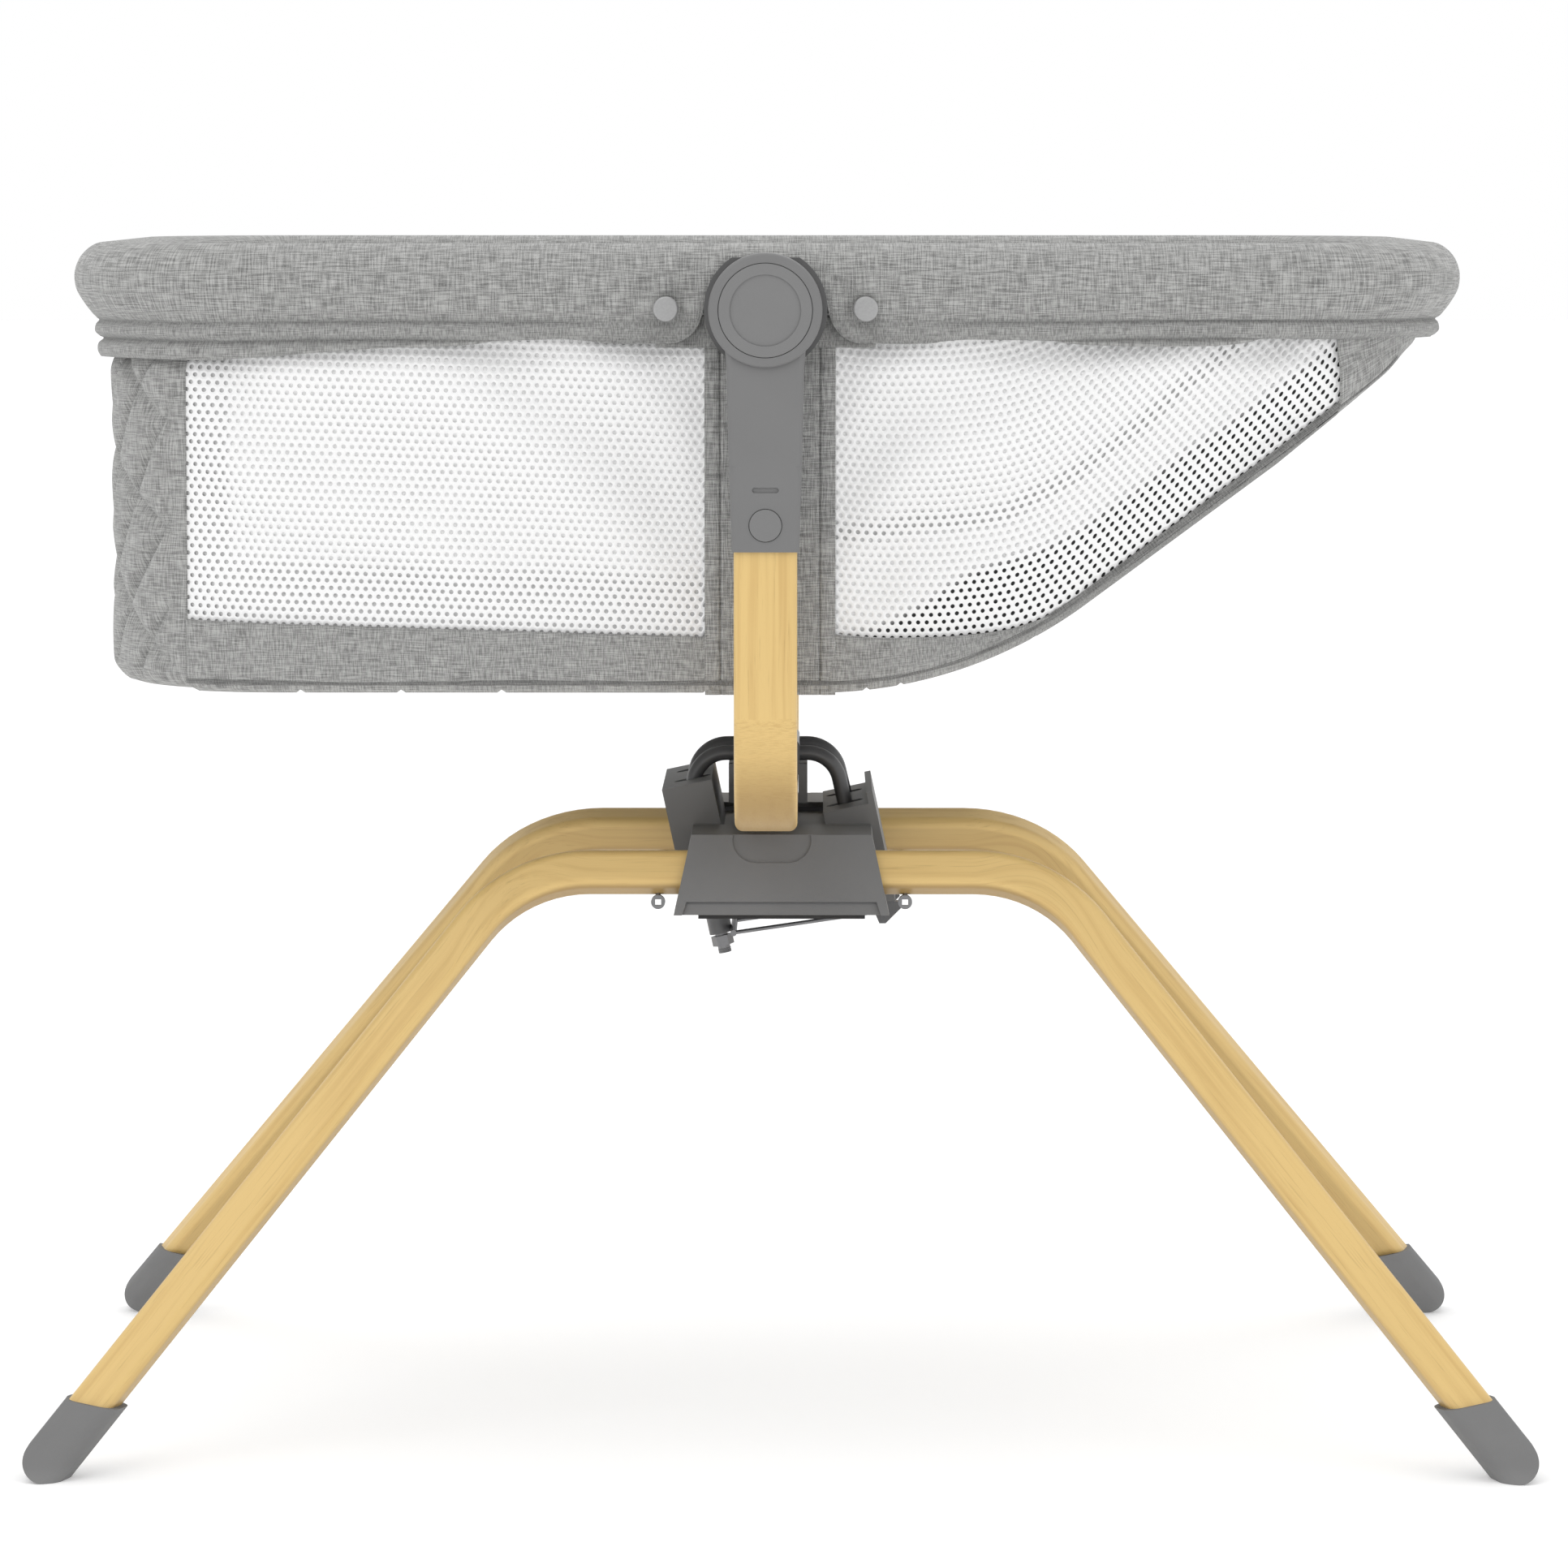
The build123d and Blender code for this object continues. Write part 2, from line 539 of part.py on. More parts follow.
def cover_section():
    """The rim cover's cut face: the padded roll with its bore, and the skirt outside the panels."""
    roll = RectangleRounded(RIM_WIDE, RIM_TALL, 20)
    skirt_out = RIM_WIDE / 2 - 5
    fall = SKIRT_FALL_Z - RIM_Z
    hem = Pos(skirt_out - 2, (fall - 12) / 2) * Rectangle(4, -fall - 12)
    return roll + hem - Circle(RIM_TUBE_R + 0.3)


def cover_end(sign):
    path = rim_path(sign * RIM_SPLIT_X, sign)
    outward = (0, -1, 0)
    start = Plane(origin=path @ 0, x_dir=outward, z_dir=(-1, 0, 0) if sign < 0 else (1, 0, 0))
    section = cover_section()
    if sign > 0:
        section = mirror(section, about=Plane.XZ)
    return sweep(start * section, path=path)


def cover_side():
    """One long side of the rim cover, arched around the hub and with the two snap flaps."""
    start = Plane(origin=(-RIM_SPLIT_X, -RIM_Y, RIM_Z), x_dir=(0, -1, 0), z_dir=(-1, 0, 0))
    body = extrude(start * cover_section(), -2 * RIM_SPLIT_X)
    flap = box((42, 84), (-256.5, -249), (684, 716))
    flap = fillet(flap.edges().filter_by(Axis.Y).group_by(Axis.Z)[0], 12)
    body += flap + mirror(flap, about=Plane.YZ)
    notch = along_y(NOTCH_R, (-300, -222), 0, NOTCH_Z) + box((-NOTCH_R, NOTCH_R), (-300, -222), (600, NOTCH_Z))
    body -= notch
    body -= Pos(0, -RIM_Y, RIM_Z) * Rot(0, 90, 0) * Cylinder(RIM_TUBE_R + 0.3, 700)
    return body - Pos(0, -RIM_Y, RIM_Z) * Rot(0, 90, 0) * Cylinder(RIM_TUBE_R + 3, 78)


def snap_studs():
    stud = along_y(7.6, (-259.5, -256.5), STUD_X, HUB_Z)
    stud = fillet(stud.edges().sort_by(Axis.Y)[0], 1.2)
    pair = [stud, mirror(stud, about=Plane.YZ)]
    return pair + [rear(one) for one in pair]


def basket_profile(inset=0.0):
    """The basket's side view: deep at the left, with a slope up to the right end."""
    far_x = BODY_RIGHT_X + 40
    far_z = BODY_FLOOR_Z + (far_x - SLOPE_START_X) * tan(radians(SLOPE))
    corner_line = FilletPolyline((BODY_LEFT_X, BODY_TOP_Z + 40), (BODY_LEFT_X, BODY_FLOOR_Z), (0, BODY_FLOOR_Z),
                                 radius=BODY_HEEL)
    slope_line = FilletPolyline((0, BODY_FLOOR_Z), (SLOPE_START_X, BODY_FLOOR_Z), (far_x, far_z),
                                radius=SLOPE_BEND)
    close = Polyline((far_x, far_z), (far_x, far_z + 40), (BODY_LEFT_X, far_z + 40), (BODY_LEFT_X, BODY_TOP_Z + 40))
    face = make_face(corner_line + slope_line + close)
    return offset(face, -inset, kind=Kind.INTERSECTION) if inset else face


def basket_plan(inset, x=(BODY_LEFT_X, BODY_RIGHT_X)):
    """The basket's rounded plan as a tall block, between two values of X."""
    long = BODY_RIGHT_X - BODY_LEFT_X - 2 * inset
    middle = (BODY_LEFT_X + BODY_RIGHT_X) / 2
    plan = Pos(middle, 0, BODY_FLOOR_Z - 10) * RectangleRounded(long, 2 * (BODY_HALF_Y - inset), BODY_CORNER - inset)
    return extrude(plan, 300) & box(x, (-300, 300), (400, 800))


def basket_mass(inset=0.0, top=BODY_TOP_Z):
    side = side_prism(basket_profile(inset), (-300, 300))
    return side & basket_plan(inset) & box((-500, 500), (-300, 300), (400, top))


def window_region(left):
    if left:
        low_left, low_right = LEFT_WINDOW_Z
        outline = Polyline((END_SEAM_X, low_left), (BAND_X[0], low_right), (BAND_X[0], 720), (END_SEAM_X, 720),
                           close=True)
    else:
        low = FilletPolyline(*RIGHT_WINDOW, radius=110)
        outline = low + Polyline(RIGHT_WINDOW[2], (RIGHT_WINDOW[2][0], 720), (BAND_X[1], 720), RIGHT_WINDOW[0])
    return side_prism(outline, (-300, 300))


def basket_panels():
    """The sewn panels of the basket, cut from one shell along its seams."""
    shell = basket_mass() - basket_mass(FABRIC, BODY_TOP_Z + 30)
    tall = (400, 760)
    end = box((-500, END_SEAM_X), (-300, 300), tall)
    band = box(BAND_X, (-300, 300), tall) - box((-500, 500), (-BODY_HALF_Y + 6, BODY_HALF_Y - 6), tall)
    left, right = window_region(True), window_region(False)
    front, back = box((-500, 500), (-300, 0), tall), box((-500, 500), (0, 300), tall)
    panels = {"quilted_end": shell & end}
    for name, half in (("front", front), ("rear", back)):
        panels[f"{name}_bed_mesh"] = shell & left & half
        panels[f"{name}_slope_mesh"] = shell & right & half
        panels[f"{name}_centre_band"] = shell & band & half
    rest = shell - end - band - left - right
    panels["bed_cover"] = rest & box((-500, BAND_X[1]), (-300, 300), tall)
    panels["slope_cover"] = rest & box((BAND_X[1], 500), (-300, 300), tall)
    return panels


def liner(depth, thick, x):
    """A layer over the basket's floor and slope, at a depth in from the outside."""
    over = side_prism(basket_profile(depth), (-300, 300))
    under = side_prism(basket_profile(depth + thick), (-300, 300))
    return (over - under) & basket_plan(LINER_INSET, x) & box(x, (-300, 300), (400, LINER_TOP_Z))


def basket_inside():
    bed_x = (BODY_LEFT_X + 12, BED_END_X)
    slope_x = (BED_END_X + 6, LINER_END_X)
    pad_depth = FABRIC + BOARD + 2 * GAP
    floor = BODY_FLOOR_Z + pad_depth
    mattress = box(bed_x, (-300, 300), (floor, floor + MATTRESS)) & basket_plan(LINER_INSET + 3)
    return {
        "bed_board": liner(FABRIC + GAP, BOARD, bed_x),
        "slope_board": liner(FABRIC + GAP, BOARD, slope_x),
        "slope_pad": liner(pad_depth, SLOPE_PAD, slope_x),
        "mattress": fillet(mattress.edges().filter_by(Plane.XY), 8),
    }


# ------------------------------------------------------------------ the whole

def stand_parts():
    left, right = housing_parts()
    front_cap = foot_cap()
    front_right = mirror(front_cap, about=Plane.YZ)
    front_arch, front_skirt = arch(), skirt()
    bolts = arch_bolts()
    cut = bolts[0] + bolts[2]
    eyes = eye_bolts()
    front_arch -= cut + eyes[0] + eyes[2]
    front_skirt -= cut
    floor = pan()
    for bolt in bolts:
        floor -= bolt
    floor -= post_bolt()
    return {
        "front_arch": front_arch, "rear_arch": rear(front_arch),
        "front_left_foot_cap": front_cap, "front_right_foot_cap": front_right,
        "rear_left_foot_cap": rear(front_cap), "rear_right_foot_cap": rear(front_right),
        "front_skirt": front_skirt, "rear_skirt": rear(front_skirt),
        "base_pan": floor, "left_tower": left, "right_tower": right,
        "arch_bolts": bolts, "eye_bolts": eyes,
        "bearing_blocks": bearing_blocks(), "pivot_shaft": pivot_shaft(),
        "pivot_post": pivot_post() - post_bolt() - tie_rods(), "post_bolt": post_bolt(), "post_nut": post_nut(),
        "tie_rods": tie_rods() - post_bolt(), "tie_bracket": tie_bracket(),
    }


def swing_parts():
    tube = swing_tube(Circle(TUBE_R) - Circle(TUBE_R - TUBE_WALL))
    front_collar, button = collar(), collar_button()
    return {
        "front_swing_tube": tube, "rear_swing_tube": rear(tube),
        "swing_yoke": swing_yoke(), "yoke_bushes": yoke_bushes(),
        "clamp_saddle": CRADLE * clamp_saddle(), "clamp_plate": CRADLE * clamp_plate(),
        "clamp_bolts": [CRADLE * bolt for bolt in clamp_bolts()],
        "cradle_fork": CRADLE * fork(),
        "front_collar": CRADLE * front_collar, "rear_collar": CRADLE * rear(front_collar),
        "front_collar_button": CRADLE * button, "rear_collar_button": CRADLE * rear(button),
    }


def cradle_parts():
    hub, button, bracket, side = carrier(), hub_button(), rim_bracket(), cover_side()
    parts = {
        "front_hub_carrier": hub, "rear_hub_carrier": rear(hub),
        "front_hub_button": button, "rear_hub_button": rear(button),
        "hub_springs": hub_springs(), "hub_pins": hub_pins(),
        "front_rim_bracket": bracket, "rear_rim_bracket": rear(bracket),
        "bed_rim_tube": rim_tube(-1), "slope_rim_tube": rim_tube(1),
        "front_rim_cover": side, "rear_rim_cover": rear(side),
        "bed_rim_cover": cover_end(-1), "slope_rim_cover": cover_end(1),
        "snap_studs": snap_studs(),
    }
    parts.update(basket_panels())
    parts.update(basket_inside())
    return {name: [CRADLE * one for one in shape] if isinstance(shape, list) else CRADLE * shape
            for name, shape in parts.items()}


def main():
    os.makedirs("parts", exist_ok=True)
    for parts in (stand_parts(), swing_parts(), cradle_parts()):
        for name, shape in parts.items():
            solids = shape if isinstance(shape, list) else [shape]
            group = Compound(children=[one for part in solids for one in part.solids()])
            export_step(group, f"parts/{name}.step")


main()
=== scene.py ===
import json
from math import cos, exp, hypot, pi, radians, sin, sqrt, tan

import bmesh
import bpy
from bpy.props import FloatProperty, FloatVectorProperty, IntProperty, PointerProperty
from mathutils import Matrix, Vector, noise


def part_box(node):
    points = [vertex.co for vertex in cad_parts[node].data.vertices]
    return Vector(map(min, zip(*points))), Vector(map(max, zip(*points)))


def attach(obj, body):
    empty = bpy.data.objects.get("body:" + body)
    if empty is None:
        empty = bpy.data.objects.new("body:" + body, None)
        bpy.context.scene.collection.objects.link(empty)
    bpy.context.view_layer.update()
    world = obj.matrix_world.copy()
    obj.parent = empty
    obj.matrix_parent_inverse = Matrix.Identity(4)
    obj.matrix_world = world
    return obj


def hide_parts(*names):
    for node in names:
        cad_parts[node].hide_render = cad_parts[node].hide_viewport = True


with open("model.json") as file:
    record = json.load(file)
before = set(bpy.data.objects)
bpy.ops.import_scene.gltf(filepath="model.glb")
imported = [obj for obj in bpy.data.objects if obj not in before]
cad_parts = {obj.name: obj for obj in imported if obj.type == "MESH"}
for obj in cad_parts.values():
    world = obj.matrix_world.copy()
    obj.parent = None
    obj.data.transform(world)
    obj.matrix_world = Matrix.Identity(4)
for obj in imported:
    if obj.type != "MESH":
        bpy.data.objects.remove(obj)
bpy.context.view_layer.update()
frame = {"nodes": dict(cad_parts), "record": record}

bl_info = {
    "name": "Bassinet on a bent-wood stand",
    "version": (1, 0, 0),
    "blender": (4, 5, 0),
    "location": "3D View > Sidebar > Bassinet",
    "description": "Sews the soft parts of the bassinet around its frame and finishes every surface",
    "category": "Add Mesh",
}

# ---- The frame that the soft parts are sewn to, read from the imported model

BED_TUBE, SLOPE_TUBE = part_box("bed_rim_tube"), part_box("slope_rim_tube")
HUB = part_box("front_hub_button")
CRADLE_X = (HUB[0].x + HUB[1].x) / 2
HUB_Z = (HUB[0].z + HUB[1].z) / 2
TUBE_R = (BED_TUBE[1].z - BED_TUBE[0].z) / 2
RIM_Z = BED_TUBE[0].z + TUBE_R
RIM_Y = BED_TUBE[1].y - TUBE_R
RIM_LEFT = BED_TUBE[0].x + TUBE_R
RIM_RIGHT = SLOPE_TUBE[1].x - TUBE_R
HEM_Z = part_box("bed_rim_cover")[0].z

WALL_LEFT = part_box("quilted_end")[0].x
WALL_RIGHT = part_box("slope_cover")[1].x
WALL_Y_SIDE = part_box("rear_centre_band")[1].y
WALL_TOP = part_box("quilted_end")[1].z
FLOOR_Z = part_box("bed_cover")[0].z
END_SEAM_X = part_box("quilted_end")[1].x
BAND_X = (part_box("rear_centre_band")[0].x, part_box("rear_centre_band")[1].x)
BED_WINDOW_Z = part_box("front_bed_mesh")[0].z
SLOPE_WINDOW_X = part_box("front_slope_mesh")[1].x


# ---- Sizes and colours that a user would change

class BassinetSizes(bpy.types.PropertyGroup):
    corner: FloatProperty(name="Basket corner", description="Radius of the basket's corners in plan",
                          default=0.108, unit="LENGTH")
    rim_corner: FloatProperty(name="Rim corner", description="Radius of the rim tube's corners",
                              default=0.098, unit="LENGTH")
    heel: FloatProperty(name="Heel", description="Radius where a wall turns under the floor",
                        default=0.012, unit="LENGTH")
    slope: FloatProperty(name="Slope", description="Angle of the sloping end", default=radians(36.5),
                         subtype="ANGLE")
    slope_start: FloatProperty(name="Slope start", default=0.1205, unit="LENGTH",
                               description="Where the slope meets the floor, from the hubs")
    slope_bend: FloatProperty(name="Slope bend", description="Radius of the bend into the slope",
                              default=0.273, unit="LENGTH")
    quilt: FloatProperty(name="Quilt pitch", description="Distance between the quilting seams",
                         default=0.058, unit="LENGTH")
    hole_pitch: FloatProperty(name="Mesh pitch", description="Distance between the holes of the mesh",
                              default=0.0052, unit="LENGTH")
    hole_radius: FloatProperty(name="Mesh hole", description="Radius of a hole in the mesh",
                               default=0.00125, unit="LENGTH")
    stations: IntProperty(name="Rim stations", description="Steps around the rim cover", default=1000)


class BassinetColours(bpy.types.PropertyGroup):
    fabric: FloatVectorProperty(name="Fabric", description="Grey melange cloth", subtype="COLOR",
                                default=(0.30, 0.30, 0.293))
    mesh: FloatVectorProperty(name="Mesh", description="White air mesh", subtype="COLOR",
                              default=(0.84, 0.84, 0.84))
    oak: FloatVectorProperty(name="Oak", description="Face of the bent wood", subtype="COLOR",
                             default=(0.66, 0.46, 0.175))
    grain: FloatVectorProperty(name="Grain", description="Dark lines of the bent wood", subtype="COLOR",
                               default=(0.50, 0.31, 0.10))
    plastic: FloatVectorProperty(name="Plastic", description="Hubs, collars and covers", subtype="COLOR",
                                 default=(0.165, 0.165, 0.165))
    steel: FloatVectorProperty(name="Steel", description="Swing tubes and castings", subtype="COLOR",
                               default=(0.075, 0.075, 0.077))
    lining: FloatVectorProperty(name="Lining", description="Mattress and slope pad", subtype="COLOR",
                                default=(0.72, 0.72, 0.71))


def sizes():
    return bpy.context.scene.bassinet_sizes


def colours():
    return bpy.context.scene.bassinet_colours


# ---- Shader expressions

class Field:
    """A shader value that takes part in Python expressions."""

    def __init__(self, tree, socket):
        self.tree, self.socket = tree, socket

    def math(self, operation, *others):
        node = self.tree.nodes.new("ShaderNodeMath")
        node.operation = operation
        for slot, value in zip(node.inputs, (self, *others)):
            if isinstance(value, Field):
                self.tree.links.new(value.socket, slot)
            else:
                slot.default_value = value
        return Field(self.tree, node.outputs[0])

    def constant(self, value):
        node = self.tree.nodes.new("ShaderNodeValue")
        node.outputs[0].default_value = value
        return Field(self.tree, node.outputs[0])

    def __add__(self, other):
        return self.math("ADD", other)

    def __sub__(self, other):
        return self.math("SUBTRACT", other)

    def __mul__(self, other):
        return self.math("MULTIPLY", other)

    def __truediv__(self, other):
        return self.math("DIVIDE", other)

    def __rsub__(self, other):
        return self.constant(other).math("SUBTRACT", self)

    __radd__, __rmul__ = __add__, __mul__

    def sin(self):
        return self.math("SINE")

    def abs(self):
        return self.math("ABSOLUTE")

    def fract(self):
        return self.math("FRACT")

    def min(self, other):
        return self.math("MINIMUM", other)

    def max(self, other):
        return self.math("MAXIMUM", other)

    def power(self, other):
        return self.math("POWER", other)

    def step(self, low, high):
        """0 below low, 1 above high, smooth between them."""
        node = self.tree.nodes.new("ShaderNodeMapRange")
        node.interpolation_type = "SMOOTHSTEP"
        self.tree.links.new(self.socket, node.inputs["Value"])
        node.inputs["From Min"].default_value = low
        node.inputs["From Max"].default_value = high
        return Field(self.tree, node.outputs["Result"])


class Finish:
    """A material under construction."""

    def __init__(self, name, **fixed):
        self.material = bpy.data.materials.new(name)
        self.material.use_nodes = True
        self.tree = self.material.node_tree
        self.shader = self.tree.nodes["Principled BSDF"]
        for socket, value in fixed.items():
            self.shader.inputs[socket.replace("_", " ")].default_value = value

    def node(self, kind, settings=None, inputs=None):
        node = self.tree.nodes.new(kind)
        for name, value in (settings or {}).items():
            setattr(node, name, value)
        for name, value in (inputs or {}).items():
            self.feed(node.inputs[name], value)
        return node

    def feed(self, socket, value):
        if isinstance(value, Field):
            self.tree.links.new(value.socket, socket)
        elif isinstance(value, bpy.types.NodeSocket):
            self.tree.links.new(value, socket)
        else:
            socket.default_value = value

    def axes(self, kind="Object"):
        source = self.node("ShaderNodeTexCoord").outputs[kind]
        split = self.node("ShaderNodeSeparateXYZ", inputs={0: source})
        return [Field(self.tree, out) for out in split.outputs]

    def vector(self, x, y, z=0.0):
        return self.node("ShaderNodeCombineXYZ", inputs={0: x, 1: y, 2: z}).outputs[0]

    def noise(self, vector, scale=1.0, detail=2.0, roughness=0.5):
        node = self.node("ShaderNodeTexNoise", inputs={
            "Vector": vector, "Scale": scale, "Detail": detail, "Roughness": roughness})
        return Field(self.tree, node.outputs["Fac"])

    def mix(self, factor, first, second):
        node = self.node("ShaderNodeMix", {"data_type": "RGBA"})
        self.feed(node.inputs["Factor"], factor)
        for socket, value in ((node.inputs[6], first), (node.inputs[7], second)):
            self.feed(socket, (*value, 1.0) if isinstance(value, (tuple, list)) else value)
        return node.outputs[2]

    def bump(self, height, distance, strength=1.0):
        node = self.node("ShaderNodeBump", inputs={
            "Height": height, "Distance": distance, "Strength": strength})
        self.feed(self.shader.inputs["Normal"], node.outputs[0])

    def colour(self, value):
        self.feed(self.shader.inputs["Base Color"], value)

    def roughness(self, value):
        self.feed(self.shader.inputs["Roughness"], value)


def shade(colour, factor):
    return tuple(min(1.0, channel * factor) for channel in colour)


# ---- Finishes

def oak_finish(name, along, across, thick):
    """Lacquered oak: along, across and thick are functions of x, y and z that follow the bend."""
    finish = Finish(name, Coat_Weight=0.12, Coat_Roughness=0.3)
    x, y, z = finish.axes()
    run, side, depth = along(x, y, z), across(x, y, z), thick(x, y, z)
    wander = finish.noise(finish.vector(run * 7, side * 30, depth * 30), 1.0, 2.0)
    side = side + (wander - 0.5) * 0.005
    pores = finish.noise(finish.vector(run * 26, side * 1000, depth * 800), 1.0, 4.0, 0.6)
    bands = finish.noise(finish.vector(run * 6, side * 210, depth * 160), 1.0, 3.0)
    cloud = finish.noise(finish.vector(run * 9, side * 18, depth * 14), 1.0, 1.0)
    face, dark = tuple(colours().oak), tuple(colours().grain)
    colour = finish.mix(bands.step(0.42, 0.72) * 0.55, face, dark)
    colour = finish.mix(pores.step(0.56, 0.72) * 0.45, colour, shade(dark, 0.72))
    colour = finish.mix(cloud.step(0.35, 0.8) * 0.25, colour, shade(face, 1.15))
    # Painted shade: faces that look downwards, such as the undersides of the arch legs and fork, are mixed
    # towards a darker grain colour to stand in for the shade that falls under them. The wood has no such
    # colour of its own.
    normal = finish.node("ShaderNodeNewGeometry").outputs["Normal"]
    facing = finish.node("ShaderNodeSeparateXYZ", inputs={0: normal})
    painted_underside_shade = (0 - Field(finish.tree, facing.outputs[2])).step(0.12, 0.75)
    finish.colour(finish.mix(painted_underside_shade * 0.8, colour, shade(dark, 0.62)))
    finish.roughness(0.36 + pores * 0.16)
    finish.bump(pores * 0.6 + bands * 0.4, 0.0003, 0.5)
    return finish.material


def arch_oak():
    """Oak whose grain runs along the top of an arch and down its legs."""
    lean = radians(50.7)
    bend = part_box("front_arch")[1].x * 0.36
    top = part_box("front_arch")[1].z

    def leg(x):
        return x.abs().step(bend * 0.72, bend * 1.28)

    def along(x, y, z):
        down = x.abs() * cos(lean) + (top - z) * sin(lean)
        return x * (1 - leg(x)) + down * leg(x)

    def across(x, y, z):
        side = x.abs() * sin(lean) + z * cos(lean)
        return z * (1 - leg(x)) + side * leg(x)

    return oak_finish("arch_oak", along, across, lambda x, y, z: y.abs() + z * 0.47)


def fork_oak():
    """Oak whose grain runs across the fork's foot and up its arms."""
    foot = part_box("cradle_fork")[0].z

    def upright(z):
        return z.step(foot + 0.02, foot + 0.075)

    def along(x, y, z):
        return z * upright(z) + y * (1 - upright(z))

    return oak_finish("fork_oak", along, lambda x, y, z: x,
                      lambda x, y, z: y * upright(z) + z * (1 - upright(z)))


def grained_plastic(name, colour, rough=0.52):
    finish = Finish(name, Specular_IOR_Level=0.42)
    x, y, z = finish.axes()
    spark = finish.noise(finish.vector(x, y, z), 1700.0, 3.0, 0.6)
    cloud = finish.noise(finish.vector(x, y, z), 26.0, 2.0)
    finish.colour(finish.mix(cloud * 0.5 + spark * 0.3, shade(colour, 0.90), shade(colour, 1.10)))
    finish.roughness(rough - 0.06 + spark * 0.12)
    finish.bump(spark, 0.00012, 0.5)
    return finish.material


def painted_steel():
    finish = Finish("painted_steel", Specular_IOR_Level=0.6, Coat_Weight=0.2, Coat_Roughness=0.25)
    x, y, z = finish.axes()
    peel = finish.noise(finish.vector(x, y, z), 420.0, 2.0)
    scuff = finish.noise(finish.vector(x, y, z), 60.0, 4.0, 0.65)
    colour = tuple(colours().steel)
    finish.colour(finish.mix(scuff.step(0.6, 0.8) * 0.5, colour, shade(colour, 1.7)))
    finish.roughness(0.28 + scuff * 0.2)
    finish.bump(peel, 0.0002, 0.35)
    return finish.material


def satin_steel(name, colour, metallic=1.0):
    finish = Finish(name, Metallic=metallic)
    x, y, z = finish.axes()
    brush = finish.noise(finish.vector(x * 900, y * 60, z * 900), 1.0, 3.0)
    finish.colour(finish.mix(brush, shade(colour, 0.85), shade(colour, 1.1)))
    finish.roughness(0.3 + brush * 0.2)
    finish.bump(brush, 0.00008, 0.4)
    return finish.material


def foot_rubber():
    finish = Finish("foot_rubber", Specular_IOR_Level=0.35)
    x, y, z = finish.axes()
    grain = finish.noise(finish.vector(x, y, z), 1500.0, 3.0)
    dust = finish.noise(finish.vector(x, y, z), 45.0, 3.0)
    base = tuple(colours().plastic)
    worn = (1 - z.step(0.0, 0.012)) * 0.4 + dust * 0.3
    finish.colour(finish.mix(worn, base, shade(base, 1.35)))
    finish.roughness(0.6 + grain * 0.2)
    finish.bump(grain, 0.0002, 0.5)
    return finish.material


def melange(name="melange_cloth", tone=1.0):
    """Grey linen-look cloth: dark and light slubs both ways over a plain weave."""
    finish = Finish(name, Roughness=0.85, Sheen_Weight=0.25, Sheen_Roughness=0.5, Specular_IOR_Level=0.2)
    u, v, _ = finish.axes("UV")
    weft = finish.noise(finish.vector(u * 75, v * 1250), 1.0, 2.0, 0.55)
    warp = finish.noise(finish.vector(u * 1250, v * 85, 7.0), 1.0, 2.0, 0.55)
    slub = finish.noise(finish.vector(u * 45, v * 700, 3.0), 1.0, 1.0)
    nap = finish.noise(finish.vector(u, v, 5.0), 1500.0, 2.0)
    base = shade(tuple(colours().fabric), tone)
    colour = finish.mix(weft.step(0.36, 0.64), shade(base, 0.50), shade(base, 1.50))
    crossing = finish.mix(warp.step(0.36, 0.64), shade(base, 0.50), shade(base, 1.50))
    colour = finish.mix(0.5, colour, crossing)
    colour = finish.mix(slub.step(0.60, 0.74) * 0.5, colour, shade(base, 0.45))
    colour = finish.mix(nap.step(0.55, 0.75) * 0.35, colour, shade(base, 1.7))
    finish.colour(colour)
    pitch = 2 * pi / 0.0011
    weave = (u * pitch).sin() * 0.5 + (v * pitch).sin() * 0.5
    finish.bump(weave * 0.4 + weft * 0.6 + warp * 0.4, 0.0005, 0.7)
    return finish.material


def air_mesh():
    """White knitted mesh with open holes in a staggered grid."""
    finish = Finish("air_mesh", Roughness=0.7, Sheen_Weight=0.15, Specular_IOR_Level=0.3)
    u, v, _ = finish.axes("UV")
    radius = sizes().hole_radius
    away = hole_distance(u, v, 0.0)
    strand = finish.noise(finish.vector(u * 900, v * 900), 1.0, 2.0)
    base = tuple(colours().mesh)
    finish.colour(finish.mix(strand * 0.5, base, shade(base, 0.92)))
    finish.feed(finish.shader.inputs["Alpha"], away.step(radius * 0.85, radius * 1.15))
    finish.bump(away.step(radius, radius * 2.1) + strand * 0.15, 0.0006, 0.6)
    return finish.material


def hole_distance(u, v, offset):
    """Distance to the nearest hole of a staggered grid."""
    wide = sizes().hole_pitch
    tall = wide * sqrt(3)

    def lattice(move):
        a = ((u / wide + move + offset).fract() - 0.5) * wide
        b = ((v / tall + move + offset * 0.6).fract() - 0.5) * tall
        return (a * a + b * b).power(0.5)

    return lattice(0.0).min(lattice(0.5))


def mesh_lining(name, dark):
    """The layer behind the mesh: close white knit, in shade where dark gives more than 0."""
    finish = Finish(name, Roughness=0.75, Sheen_Weight=0.15, Specular_IOR_Level=0.2)
    u, v, _ = finish.axes("UV")
    away = hole_distance(u, v, 0.31)
    strand = finish.noise(finish.vector(u * 800, v * 800), 1.0, 2.0)
    cloud = finish.noise(finish.vector(u * 16 + v * 12, v * 34 - u * 22), 1.0, 2.0)
    base = tuple(colours().mesh)
    colour = finish.mix(away.step(0.0006, 0.0013), shade(base, 0.90), shade(base, 1.18))
    colour = finish.mix(cloud.step(0.42, 0.66) * 0.35, colour, shade(base, 0.98))
    finish.colour(finish.mix(dark(finish, u, v), colour, (0.035, 0.035, 0.035)))
    finish.bump(away.step(0.0006, 0.0014) + strand * 0.2, 0.0005, 0.6)
    return finish.material


